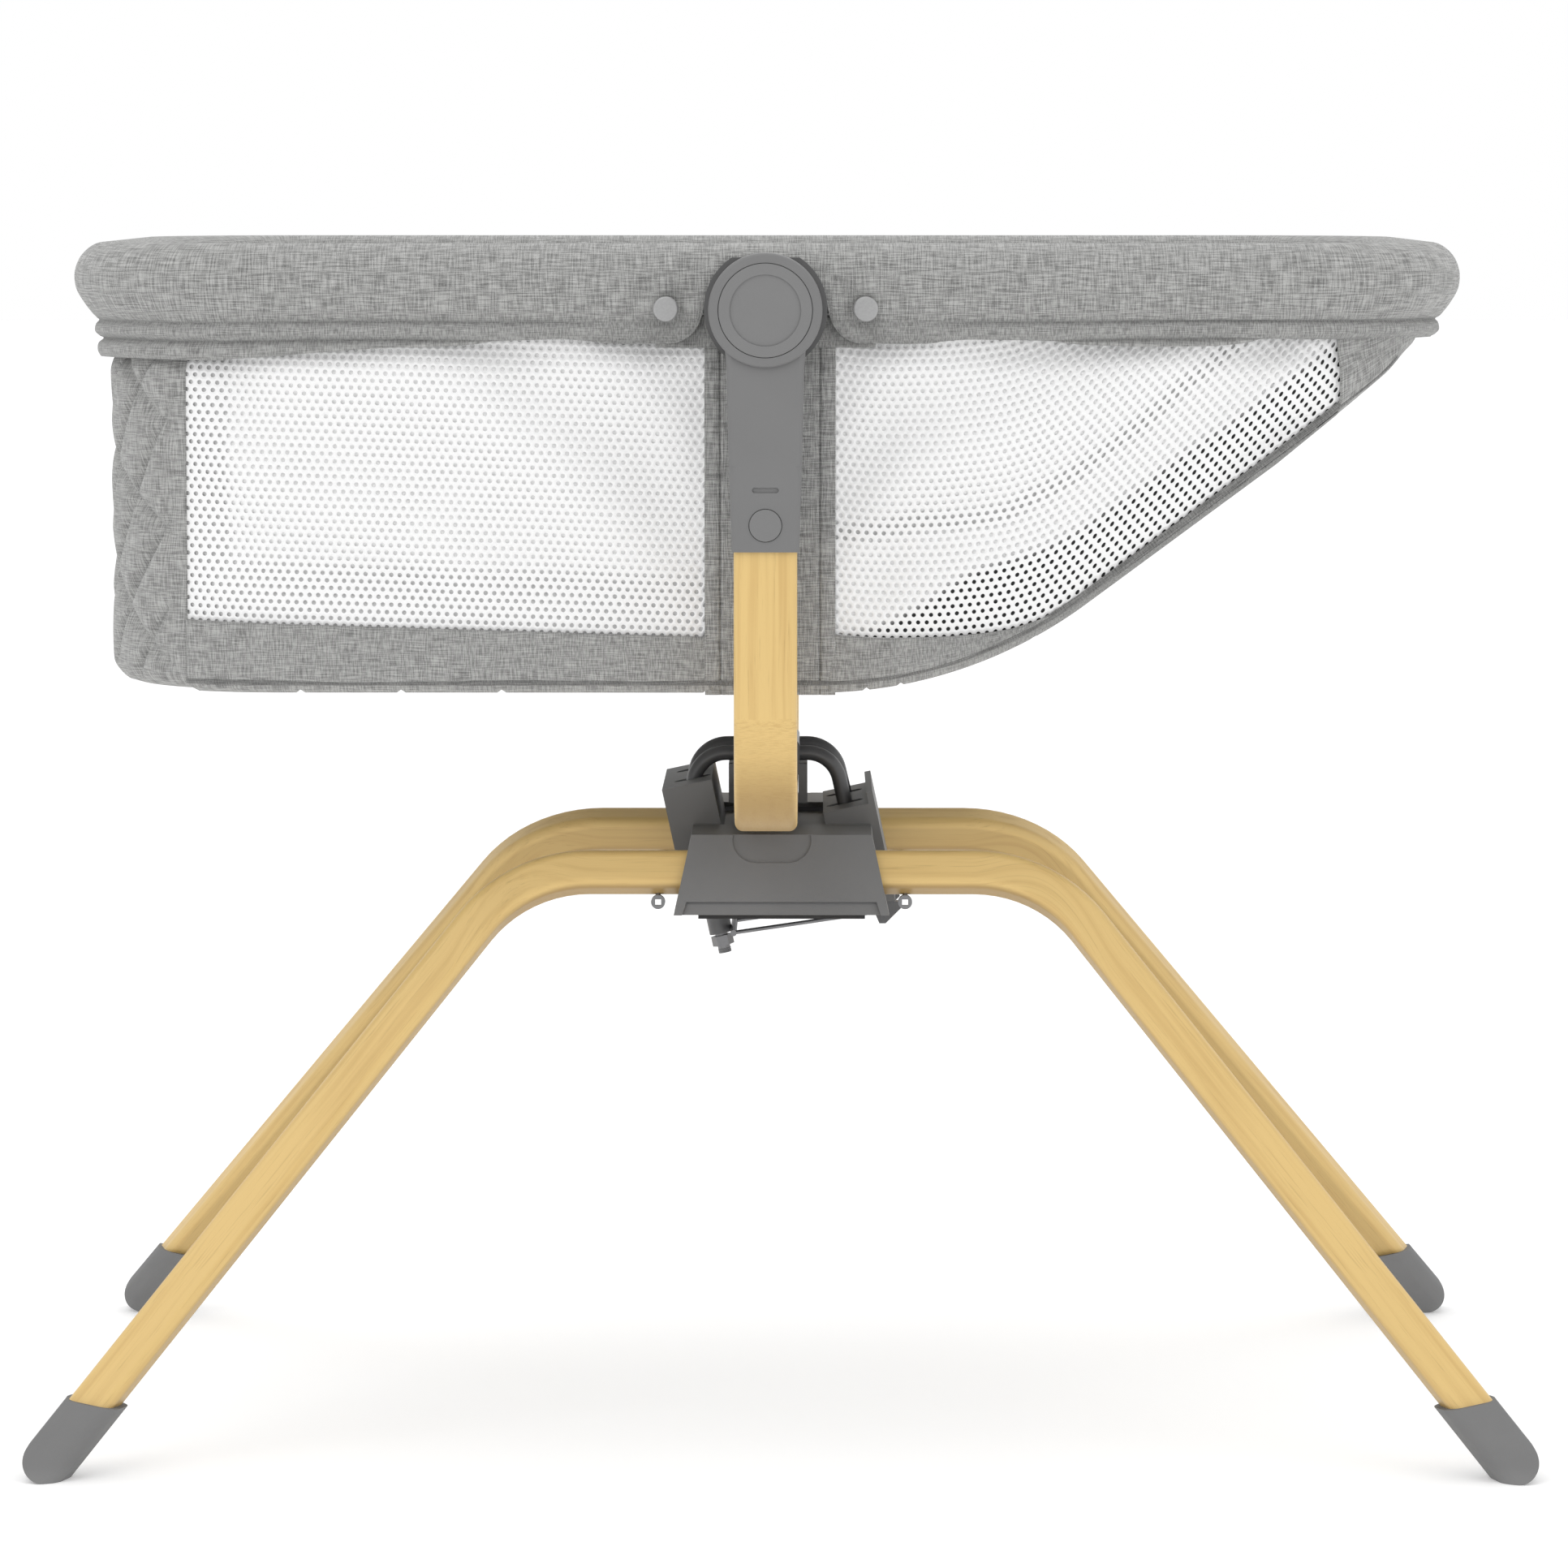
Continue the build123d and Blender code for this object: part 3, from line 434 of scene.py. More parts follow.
def bed_shade(finish, u, v):
    """Below the mattress top and beside the quilted end the light behind the mesh is weaker."""
    wave = finish.noise(finish.vector(u * 30, v * 30), 1.0, 2.0) * 0.010
    low = 1 - (v + wave).step(0.036, 0.048)
    side = 1 - (u + wave * 0.5).step(0.026, 0.034)
    return low.max(side) * 0.34


def slope_shade(finish, u, v):
    """Dark along the slope, where only the shadow under the pad shows through the mesh."""
    wave = finish.noise(finish.vector(u * 22, v * 22), 1.0, 2.0) * 0.012
    reach = u.step(0.0, 0.11) * 0.044
    near = 1 - (v - reach + wave).step(0.0, 0.010)
    band = (v - u * 0.10 - 0.068 + wave).abs()
    far = (1 - band.step(0.002, 0.010)) * 0.45
    return near.max(far)


def lining_cloth():
    finish = Finish("lining_cloth", Roughness=0.85, Sheen_Weight=0.3, Specular_IOR_Level=0.2)
    x, y, z = finish.axes()
    pitch = 2 * pi / 0.0016
    weave = (x * pitch).sin() * 0.5 + (y * pitch).sin() * 0.5
    fleck = finish.noise(finish.vector(x, y, z), 500.0, 2.0)
    base = tuple(colours().lining)
    finish.colour(finish.mix(fleck, shade(base, 0.92), shade(base, 1.05)))
    finish.bump(weave * 0.5 + fleck, 0.0005, 0.6)
    return finish.material


def fibre_board():
    finish = Finish("fibre_board", Roughness=0.8)
    x, y, z = finish.axes()
    fibre = finish.noise(finish.vector(x * 90, y * 700, z * 700), 1.0, 4.0)
    finish.colour(finish.mix(fibre, (0.30, 0.20, 0.11), (0.46, 0.33, 0.20)))
    finish.bump(fibre, 0.0002, 0.5)
    return finish.material


def studio_floor():
    finish = Finish("studio_floor", Roughness=0.75, Emission_Strength=0.14, Emission_Color=(1, 1, 1, 1))
    x, y, z = finish.axes()
    cloud = finish.noise(finish.vector(x, y, z), 0.6, 2.0)
    finish.colour(finish.mix(cloud, (0.93, 0.93, 0.93), (0.95, 0.95, 0.95)))
    return finish.material


# ---- Shapes shared by the sewn pieces

WALL_STEP = 0.004               # how far the walls step in to pass behind the rim cover's hem
WALL_STEP_Z = (0.664, 0.680)    # and the heights between which they do
BED_WINDOW_RISE = 0.0095        # how much higher the bed window starts at the quilted end
SLOPE_STRIP = (                 # x and width of the grey strip under the slope window
    (0.033, 0.0345), (0.0817, 0.026), (0.1116, 0.019), (0.1385, 0.0115), (0.1567, 0.0078),
    (0.1826, 0.005), (0.2144, 0.0036), (0.34, 0.0028), (0.40, 0.0028))
WELD = 0.00005                  # points closer than this are one point
SEAM_GAP = 0.0007               # between two panels that are sewn edge to edge
BAND_LAP = 0.004                # how far a panel goes under the centre band
WINDOW_LAP = 0.002              # how far a window goes under its neighbours
WINDOW_RECESS = 0.0014          # how far the mesh lies behind the grey panels
LINING_GAP = 0.0011             # between the mesh and its inner layer
SLOPE_HEM = 0.011               # how much higher the rim cover's hem is towards the slope
ROLL = 0.42                     # share of the rim cover's section that no hem cuts into
PAD_VOXEL = 0.006               # mesh size, pressure and steps of the pads' cloth simulation
PAD_PRESSURE = 4
PAD_STEPS = 20
TOP_STRIP_HALF_X = 0.066        # the strip of cloth behind each hub's flaps
TOP_STRIP_Z = 0.6805


def smooth(low, high, value):
    t = min(1.0, max(0.0, (value - low) / (high - low)))
    return t * t * (3 - 2 * t)


def curve_through(points, t):
    """A point on a smooth curve through the given points, t from 0 to 1."""
    span = t * (len(points) - 1)
    k = min(int(span), len(points) - 2)
    f = span - k
    p0, p1 = points[max(k - 1, 0)], points[k]
    p2, p3 = points[k + 1], points[min(k + 2, len(points) - 1)]
    return [0.5 * (2 * b + (c - a) * f + (2 * a - 5 * b + 4 * c - d) * f * f
                   + (3 * b - a - 3 * c + d) * f ** 3)
            for a, b, c, d in zip(p0, p1, p2, p3)]


def around(left, right, half_y, corner, distance):
    """A point on a rounded rectangle and its outward direction.
    The distance runs from the middle of the front side towards the left."""
    middle = (left + right) / 2
    long, short, turn = (right - left) / 2 - corner, half_y - corner, corner * pi / 2
    total = 4 * (long + short + turn)
    distance %= total
    flip = distance > total / 2
    if flip:
        distance = total - distance
    if distance < long:
        x, y, nx, ny = -distance, -half_y, 0.0, -1.0
    elif distance < long + turn:
        angle = (distance - long) / corner
        nx, ny = -sin(angle), -cos(angle)
        x, y = -long + nx * corner, -short + ny * corner
    elif distance < long + turn + 2 * short:
        x, y, nx, ny = -long - corner, -short + distance - long - turn, -1.0, 0.0
    elif distance < long + 2 * turn + 2 * short:
        angle = (distance - long - turn - 2 * short) / corner
        nx, ny = -cos(angle), sin(angle)
        x, y = -long + nx * corner, short + ny * corner
    else:
        x, y, nx, ny = -(total / 2 - distance), half_y, 0.0, 1.0
    side = -1.0 if flip else 1.0
    return Vector((middle + x * side, y, 0)), Vector((nx * side, ny, 0))


def perimeter(left, right, half_y, corner):
    return 2 * (right - left) + 4 * half_y - 8 * corner + 2 * pi * corner


def wall_at(distance):
    return around(WALL_LEFT, WALL_RIGHT, WALL_Y_SIDE, sizes().corner, distance)


def wall_distance(x):
    """How far round the front wall a value of x lies, corners included."""
    low, high = 0.0, perimeter(WALL_LEFT, WALL_RIGHT, WALL_Y_SIDE, sizes().corner) / 2
    towards_left = x < (WALL_LEFT + WALL_RIGHT) / 2
    for _ in range(40):
        middle = (low + high) / 2
        at = wall_at(middle if towards_left else -middle)[0].x
        if (at > x) == towards_left:
            low = middle
        else:
            high = middle
    return low if towards_left else -low


def floor_z(x):
    """Height of the basket's underside: level, then a bend into the slope."""
    s = sizes()
    reach = s.slope_bend * tan(s.slope / 2)
    start = CRADLE_X + s.slope_start - reach
    if x < start:
        return FLOOR_Z
    end = start + s.slope_bend * sin(s.slope)
    if x < end:
        return FLOOR_Z + s.slope_bend - sqrt(s.slope_bend ** 2 - (x - start) ** 2)
    return FLOOR_Z + s.slope_bend * (1 - cos(s.slope)) + (x - end) * tan(s.slope)


def window_low(x):
    """Height of the lower edge of the mesh windows."""
    if x < BAND_X[0]:
        share = (x - END_SEAM_X) / (BAND_X[0] - END_SEAM_X)
        return BED_WINDOW_Z + BED_WINDOW_RISE * (1 - share)
    for (x0, t0), (x1, t1) in zip(SLOPE_STRIP, SLOPE_STRIP[1:]):
        if x <= x1:
            break
    share = min(1.0, max(0.0, (x - x0) / (x1 - x0)))
    return floor_z(x) + t0 + (t1 - t0) * share


def wall_point(distance, z, out=0.0):
    """A point on the basket's wall, which turns under at the heel."""
    place, normal = wall_at(distance)
    heel = sizes().heel
    above = z - floor_z(place.x)
    tuck = heel - sqrt(max(0.0, heel ** 2 - (heel - min(max(above, 0.0), heel)) ** 2))
    step_in = WALL_STEP * smooth(*WALL_STEP_Z, z)
    return place + normal * (out - tuck - step_in) + Vector((0, 0, z))


def add_sheet(bm, columns, rows, place, size, measure=None):
    """A grid laid on a surface: place takes two shares, from 0 to 1, and returns a point.
    Its cloth coordinates are the shares times size, or what measure gives for them."""
    made = bmesh.ops.create_grid(bm, x_segments=columns, y_segments=rows, size=0.5)
    layer = bm.loops.layers.uv.verify()
    verts = made["verts"]
    for face in {face for vert in verts for face in vert.link_faces}:
        for loop in face.loops:
            u, v = loop.vert.co.x + 0.5, loop.vert.co.y + 0.5
            loop[layer].uv = measure(u, v) if measure else (u * size[0], v * size[1])
    for vert in verts:
        vert.co = place(vert.co.x + 0.5, vert.co.y + 0.5)


def finish_piece(name, bm, material, body="basket", thickness=0.0, offset=-1.0):
    """Turns a bmesh into a named piece that rides on a body."""
    bmesh.ops.remove_doubles(bm, verts=bm.verts, dist=WELD)
    bmesh.ops.dissolve_degenerate(bm, edges=bm.edges, dist=WELD / 5)
    data = bpy.data.meshes.new(name)
    for face in bm.faces:
        face.smooth = True
    bm.to_mesh(data)
    bm.free()
    piece = bpy.data.objects.new(name, data)
    bpy.context.scene.collection.objects.link(piece)
    data.materials.append(material)
    if thickness:
        solid = piece.modifiers.new("cloth", "SOLIDIFY")
        solid.thickness, solid.offset = thickness, offset
    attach(piece, body)
    return piece


def turn_outward(bm, towards):
    """Flips the faces if most of them look against a direction that towards gives for a point."""
    bm.normal_update()
    vote = sum(face.normal.dot(towards(face.calc_center_median())) * face.calc_area() for face in bm.faces)
    if vote < 0:
        bmesh.ops.reverse_faces(bm, faces=bm.faces)


def away_from_middle(point):
    return Vector((point.x - CRADLE_X, point.y, 0.2 * (point.z - HUB_Z)))


def down_and_out(point):
    return Vector((point.x - CRADLE_X, point.y * 4, -1.0))


def ripple(point, scale, seed):
    return noise.noise(Vector((point.x * scale + seed, point.y * scale, point.z * scale)))


# ---- The sewn pieces

def hem_at(dx, side):
    """Lower edge of the rim cover beside a hub: an arch, a rounded flap and the rising hem.
    The hem hangs lower towards the bed end than towards the slope."""
    arch, corner, flap = 0.0385, 0.020, HUB_Z - 0.021
    if dx < arch:
        return HUB_Z - 0.007 + sqrt(max(0.0, arch ** 2 - dx ** 2)) * 0.95
    if dx < arch + corner:
        return flap + corner - sqrt(corner ** 2 - (arch + corner - dx) ** 2)
    lift = 0.003
    far = HEM_Z if side < 0 else HEM_Z + lift + (SLOPE_HEM - lift) * smooth(0.24, 0.305, dx)
    rise = smooth(0.085, 0.125, dx) * lift
    return flap + rise + (far - flap - rise) * smooth(0.12, 0.36, dx)


def rim_profile():
    """The rim cover's section, outward and upward from the rim tube, inner side first."""
    return [(-0.013, -0.0235), (-0.019, -0.015), (-0.0218, -0.003), (-0.021, 0.009), (-0.015, 0.0172),
            (-0.004, 0.0200), (0.008, 0.0190), (0.017, 0.0120), (0.0212, 0.002), (0.0208, -0.008),
            (0.0186, -0.0175), (0.0158, -0.0245), (0.0128, -0.0268), (0.0150, -0.0292), (0.0156, -0.0335),
            (0.0128, -0.0365), (0.0104, -0.0380), (0.0136, -0.0410), (0.0140, -0.0455),
            (0.0122, HEM_Z - RIM_Z)]


def flap_profile():
    """The same beside a hub, where the cover hangs smooth down to its flap."""
    ends = [(0.0192, -0.0185), (0.0176, -0.0250), (0.0168, -0.0275), (0.0162, -0.0300), (0.0152, -0.0335),
            (0.0143, -0.0365), (0.0138, -0.0385), (0.0134, -0.0410), (0.0130, -0.0455),
            (0.0122, HEM_Z - RIM_Z)]
    return rim_profile()[:10] + ends


def profile_share(profile, up):
    """The share of the section at which its outer side comes down to a height."""
    low, high = ROLL, 1.0
    for _ in range(24):
        middle = (low + high) / 2
        if curve_through(profile, middle)[1] > up:
            low = middle
        else:
            high = middle
    return low


def rim_cover():
    """The padded cover over the rim tube, with its folds, hub arches and snap flaps."""
    folded, flat = rim_profile(), flap_profile()
    corner = sizes().rim_corner
    length = perimeter(RIM_LEFT, RIM_RIGHT, RIM_Y, corner)
    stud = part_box("snap_studs")
    stud_r = 0.0076
    stud_dx = stud[1].x - CRADLE_X - stud_r
    limits = {}
    girth = 0.17

    def station(u):
        centre, out = around(RIM_LEFT, RIM_RIGHT, RIM_Y, corner, u * length)
        dx = centre.x - CRADLE_X
        on_side = abs(out.y) > 0.99
        spread = smooth(0.075, 0.14, abs(dx)) if on_side else 1.0
        profile = folded if spread == 1 else [
            (fx + (gx - fx) * spread, fz + (gz - fz) * spread) for (fx, fz), (gx, gz) in zip(flat, folded)]
        key = round(u, 6)
        if key not in limits:
            hem = hem_at(abs(dx), dx) if on_side else HEM_Z + (SLOPE_HEM if dx > 0 else 0)
            limits[key] = profile_share(profile, hem - RIM_Z)
        return centre, out, abs(dx), on_side, profile, limits[key]

    def cut(v, limit):
        return v if v < ROLL else ROLL + (v - ROLL) * (limit - ROLL) / (1 - ROLL)

    def measure(u, v):
        return u * length, cut(v, station(u)[5]) * girth

    def place(u, v):
        centre, out, dx, on_side, profile, limit = station(u)
        v = cut(v, limit)
        away, up = curve_through(profile, v)
        low = smooth(-0.018, -0.03, up)
        tuck = abs(out.x) * (0.005 * smooth(-0.006, -0.026, up) + 0.002 * low)
        spot = centre + out * away
        spot.z = RIM_Z + up
        free = smooth(0.30, 0.55, v)
        puff = ripple(spot, 9, 2.0) * 0.0016 + ripple(spot, 34, 5.0) * 0.0007
        fold = sin(u * length * 46 + 3 * ripple(centre, 5, 9.0)) * 0.0007 * low
        sag = ripple(centre, 6, 4.0) * 0.003 * low
        pinch = 0.0
        if on_side and dx < 0.17:
            reach = hypot(dx - stud_dx, spot.z - HUB_Z)
            pinch = -0.0030 * exp(-(reach / 0.020) ** 2)
            spokes = exp(-(reach / 0.055) ** 2)
            pinch += 0.0012 * spokes * sin((dx - stud_dx) * 260 + (spot.z - HUB_Z) * 120) * free
            sag *= smooth(0.06, 0.17, dx)
        spot += out * (puff * (0.4 + 0.6 * free) + fold + pinch - tuck)
        spot.z += sag * (1 if v > 0.6 else 0)
        return spot

    bm = bmesh.new()
    add_sheet(bm, sizes().stations, 76, place, (length, girth), measure)
    turn_outward(bm, away_from_middle)
    return bm


def quilt_height(distance, z):
    """Puffed diamonds between two families of slanting seams."""
    pitch = sizes().quilt
    wave = 0.005 * sin(distance * 31) + 0.004 * sin(z * 47)
    first = abs(((distance * 1.25 + z + wave) / pitch) % 1.0 - 0.5) * 2
    second = abs(((distance * 0.55 - z + wave) / (pitch * 1.25)) % 1.0 - 0.5) * 2
    seam = min(1 - first, 1 - second)
    puff, sunk = 0.0062, 0.0026
    return puff * (1 - exp(-seam * 5)) - sunk


def quilted_end():
    """The quilted panel round the bed's end, from one side seam to the other."""
    seam = wall_distance(END_SEAM_X)
    span = perimeter(WALL_LEFT, WALL_RIGHT, WALL_Y_SIDE, sizes().corner) / 2 - 2 * seam
    tall = WALL_TOP - FLOOR_Z

    def place(u, v):
        distance = seam + span * u
        z = FLOOR_Z + v * tall
        edge = smooth(0, 0.05, u) * smooth(0, 0.05, 1 - u) * smooth(0.0, 0.06, v)
        return wall_point(distance, z, quilt_height(distance, z) * edge)

    bm = bmesh.new()
    add_sheet(bm, 300, 120, place, (span, tall))
    turn_outward(bm, away_from_middle)
    return bm


def mirrored(point, rear):
    return Vector((point.x, -point.y, point.z)) if rear else point


def window(x_from, x_to, rear, inner):
    """A mesh window with soft slanting folds; the inner layer lies just behind the outer one."""
    count, rows = 170, 64
    distances = [wall_distance(x_from + (x_to - x_from) * k / count) for k in range(count + 1)]
    sloping = x_from > CRADLE_X
    gap = LINING_GAP if inner else 0.0

    def height(x, v):
        low = window_low(x)
        return low + (WALL_TOP - low) * v

    def place(u, v):
        x = x_from + (x_to - x_from) * u
        z = height(x, v)
        edge = smooth(0, 0.12, u) * smooth(0, 0.12, 1 - u) * smooth(0, 0.16, v)
        slant = (x * -30 + z * 46) if sloping else (x * 24 + z * 40)
        fold = sin(slant * 1.6 + 2.4 * noise.noise(Vector((x * 7, z * 7, 1.0)))) * 0.0030
        loose = noise.noise(Vector((x * 14, z * 14, 4.0))) * 0.0018
        out = (fold + loose - 0.0022) * edge - gap - WINDOW_RECESS
        return mirrored(wall_point(distances[round(u * count)], z, out), rear)

    def measure(u, v):
        x = x_from + (x_to - x_from) * u
        return x - x_from, height(x, v) - window_low(x)

    bm = bmesh.new()
    add_sheet(bm, count, rows, place, (x_to - x_from, WALL_TOP - BED_WINDOW_Z), measure)
    turn_outward(bm, away_from_middle)
    return bm


def side_strip(bm, x_from, x_to, rear, low, high, columns=120, rows=16, out=0.0):
    """A strip of wall between two heights that change with x."""
    distances = [wall_distance(x_from + (x_to - x_from) * k / columns) for k in range(columns + 1)]

    def place(u, v):
        x = x_from + (x_to - x_from) * u
        bottom, top = low(x), max(low(x) + 0.0005, high(x))
        z = bottom + (top - bottom) * v
        soft = noise.noise(Vector((x * 16, z * 16, 2.0))) * 0.0011 * smooth(0, 0.2, v) * smooth(0, 0.2, 1 - v)
        return mirrored(wall_point(distances[round(u * columns)], z, out + soft), rear)

    add_sheet(bm, columns, rows, place, (x_to - x_from, 0.06))


def under_sheet(bm, x_from, x_to, columns, rows=60):
    """The underside, stretched between the lower edges of the two side walls."""
    edges = []
    for k in range(columns + 1):
        x = x_from + (x_to - x_from) * k / columns
        edges.append(wall_point(wall_distance(x), floor_z(x)))

    def place(u, v):
        edge = edges[round(u * columns)]
        spot = Vector((edge.x, -edge.y * (2 * v - 1), edge.z))
        spot.z -= 0.0025 * sin(pi * u) * sin(pi * v) + 0.0006 * ripple(spot, 18, 3.0) * sin(pi * v)
        return spot

    add_sheet(bm, columns, rows, place, (x_to - x_from, 2 * WALL_Y_SIDE))


def bed_cover():
    """The grey strips under the bed windows and the cloth under the bed."""
    bm = bmesh.new()
    for rear in (False, True):
        side_strip(bm, END_SEAM_X + SEAM_GAP, BAND_X[0] + BAND_LAP, rear, floor_z, window_low)
    under_sheet(bm, WALL_LEFT + 0.0005, BAND_X[1], 160)
    turn_outward(bm, down_and_out)
    return bm


def slope_cover():
    """The grey strips beside the slope windows and the cloth under the slope."""
    bm = bmesh.new()
    last = WALL_RIGHT - 0.016
    for rear in (False, True):
        side_strip(bm, BAND_X[1] - BAND_LAP, SLOPE_WINDOW_X, rear, floor_z, window_low, 150)
        side_strip(bm, SLOPE_WINDOW_X, last, rear, floor_z, lambda x: WALL_TOP, 60, 40)
    under_sheet(bm, BAND_X[1], WALL_RIGHT - 0.0005, 200)
    turn_outward(bm, down_and_out)
    return bm


def centre_band(rear):
    """The grey band behind the hub, with a welt and a stitched groove down each side."""
    wide = BAND_X[1] - BAND_X[0]
    foot = 0.003

    def place(u, v):
        x = BAND_X[0] + wide * u
        z = FLOOR_Z - foot + (WALL_TOP - FLOOR_Z + foot) * v
        inset = min(u, 1 - u) * wide
        welt = 0.0006 * exp(-((inset - 0.0055) / 0.0030) ** 2)
        welt -= 0.0018 * exp(-((inset - 0.0095) / 0.0006) ** 2)
        spot = wall_point(wall_distance(x), max(z, FLOOR_Z), 0.0016 + welt)
        spot.z = z
        return mirrored(spot, rear)

    bm = bmesh.new()
    add_sheet(bm, 158, 70, place, (wide, WALL_TOP - FLOOR_Z))
    turn_outward(bm, away_from_middle)
    return bm


def piping(rear):
    """The welted seam along the lower edge of a side, from the quilted end to the slope's top."""
    x_from, x_to, count = END_SEAM_X, WALL_RIGHT - 0.03, 260
    heel, radius = sizes().heel, 0.0021
    centres = []
    for k in range(count + 1):
        x = x_from + (x_to - x_from) * k / count
        z = floor_z(x) + heel * 0.45
        centres.append(mirrored(wall_point(wall_distance(x), z, 0.0006), rear))

    def place(u, v):
        k = min(round(u * count), count)
        ahead = (centres[min(k + 1, count)] - centres[max(k - 1, 0)]).normalized()
        side = ahead.cross(Vector((0, 0, 1))).normalized()
        up = side.cross(ahead)
        angle = 2 * pi * v
        return centres[k] + (side * cos(angle) + up * sin(angle)) * radius

    bm = bmesh.new()
    add_sheet(bm, count, 10, place, (x_to - x_from, 0.013))
    bmesh.ops.remove_doubles(bm, verts=bm.verts, dist=WELD)
    bmesh.ops.holes_fill(bm, edges=[edge for edge in bm.edges if edge.is_boundary], sides=0)
    bmesh.ops.recalc_face_normals(bm, faces=bm.faces)
    return bm


def stuffed(node, name, shrink, cap):
    """A pad blown up from its plain solid by a short cloth simulation.
    It starts smaller by shrink, and no point of it moves further than cap."""
    bm = bmesh.new()
    bm.from_mesh(frame["nodes"][node].data)
    bmesh.ops.remove_doubles(bm, verts=bm.verts, dist=0.0001)
    data = bpy.data.meshes.new(name)
    bm.to_mesh(data)
    bm.free()
    pad = bpy.data.objects.new(name, data)
    bpy.context.scene.collection.objects.link(pad)
    bpy.context.view_layer.objects.active = pad
    remesh = pad.modifiers.new("remesh", "REMESH")
    remesh.mode, remesh.voxel_size = "VOXEL", PAD_VOXEL
    apply_modifiers(pad)
    for vert, normal in zip(pad.data.vertices, [v.normal.copy() for v in pad.data.vertices]):
        vert.co -= normal * shrink
    start = [vert.co.copy() for vert in pad.data.vertices]
    cloth = pad.modifiers.new("cloth", "CLOTH")
    cloth.settings.use_pressure = True
    cloth.settings.uniform_pressure_force = PAD_PRESSURE
    cloth.settings.effector_weights.gravity = 0
    for step in range(1, PAD_STEPS + 1):
        bpy.context.scene.frame_set(step)
    apply_modifiers(pad)
    bpy.context.scene.frame_set(1)
    for vert, home in zip(pad.data.vertices, start):
        move = vert.co - home
        if move.length > cap:
            vert.co = home + move.normalized() * cap
    finer = pad.modifiers.new("finer", "SUBSURF")
    finer.levels = finer.render_levels = 1
    apply_modifiers(pad)
    return pad


def apply_modifiers(piece):
    """Replaces a piece's mesh by its evaluated mesh and drops the modifiers."""
    graph = bpy.context.evaluated_depsgraph_get()
    graph.update()
    done = bpy.data.meshes.new_from_object(piece.evaluated_get(graph))
    piece.modifiers.clear()
    piece.data = done


def tuft(pad, rows):
    """Sewn channels across a pad."""
    depth, width = 0.0035, 0.05
    low = min(vert.co.x for vert in pad.data.vertices)
    high = max(vert.co.x for vert in pad.data.vertices)
    for vert, normal in zip(pad.data.vertices, [v.normal.copy() for v in pad.data.vertices]):
        share = (vert.co.x - low) / (high - low) * rows
        line = abs(share - round(share))
        if normal.z > 0.3:
            vert.co.z -= depth * exp(-(line / width) ** 2)


def put_pad(pad, node, material, rows):
    """Tufts a pad, gives it its cloth and puts it in the place of its plain solid."""
    tuft(pad, rows)
    for polygon in pad.data.polygons:
        polygon.use_smooth = True
    pad.data.materials.clear()
    pad.data.materials.append(material)
    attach(pad, "basket")
    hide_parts(node)


# ---- Operators

class FinishHardware(bpy.types.Operator):
    """Gives every rigid part its wood, plastic, rubber or metal."""
    bl_idname = "bassinet.hardware"
    bl_label = "Finish wood, plastic and metal"

    def execute(self, context):
        plastic = grained_plastic("grey_plastic", tuple(colours().plastic))
        button = grained_plastic("button_plastic", shade(tuple(colours().plastic), 1.06), 0.48)
        bracket = grained_plastic("bracket_plastic", shade(tuple(colours().plastic), 0.62))
        steel, rubber = painted_steel(), foot_rubber()
        bright = satin_steel("bright_steel", (0.22, 0.22, 0.225))
        snap = satin_steel("snap_metal", (0.36, 0.36, 0.36), 0.35)
        brass = satin_steel("bush_brass", (0.70, 0.52, 0.22))
        by_slot = {"grey_plastic": plastic, "dark_steel": steel, "steel": bright, "foot_rubber": rubber,
                   "board": fibre_board(), "bush": brass}
        special = {"front_arch": arch_oak(), "cradle_fork": fork_oak(), "snap_studs": snap,
                   "front_hub_button": button, "rear_hub_button": button,
                   "front_collar_button": button, "rear_collar_button": button,
                   "front_rim_bracket": bracket, "rear_rim_bracket": bracket}
        special["rear_arch"] = special["front_arch"]
        slots = {entry["node"]: entry["material_slot"] for entry in frame["record"]["subparts"]}
        for name, node in frame["nodes"].items():
            material = special.get(name) or by_slot.get(slots[name])
            if material:
                node.data.materials.clear()
                node.data.materials.append(material)
        return {"FINISHED"}


class SewRimCover(bpy.types.Operator):
    """Sews the padded cover around the rim."""
    bl_idname = "bassinet.rim_cover"
    bl_label = "Sew the rim cover"

    def execute(self, context):
        cover = finish_piece("rim_cover", rim_cover(), bpy.data.materials["melange_cloth"], thickness=0.0022)
        for node in ("front_rim_cover", "rear_rim_cover", "bed_rim_cover", "slope_rim_cover"):
            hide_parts(node)
        return {"FINISHED"}


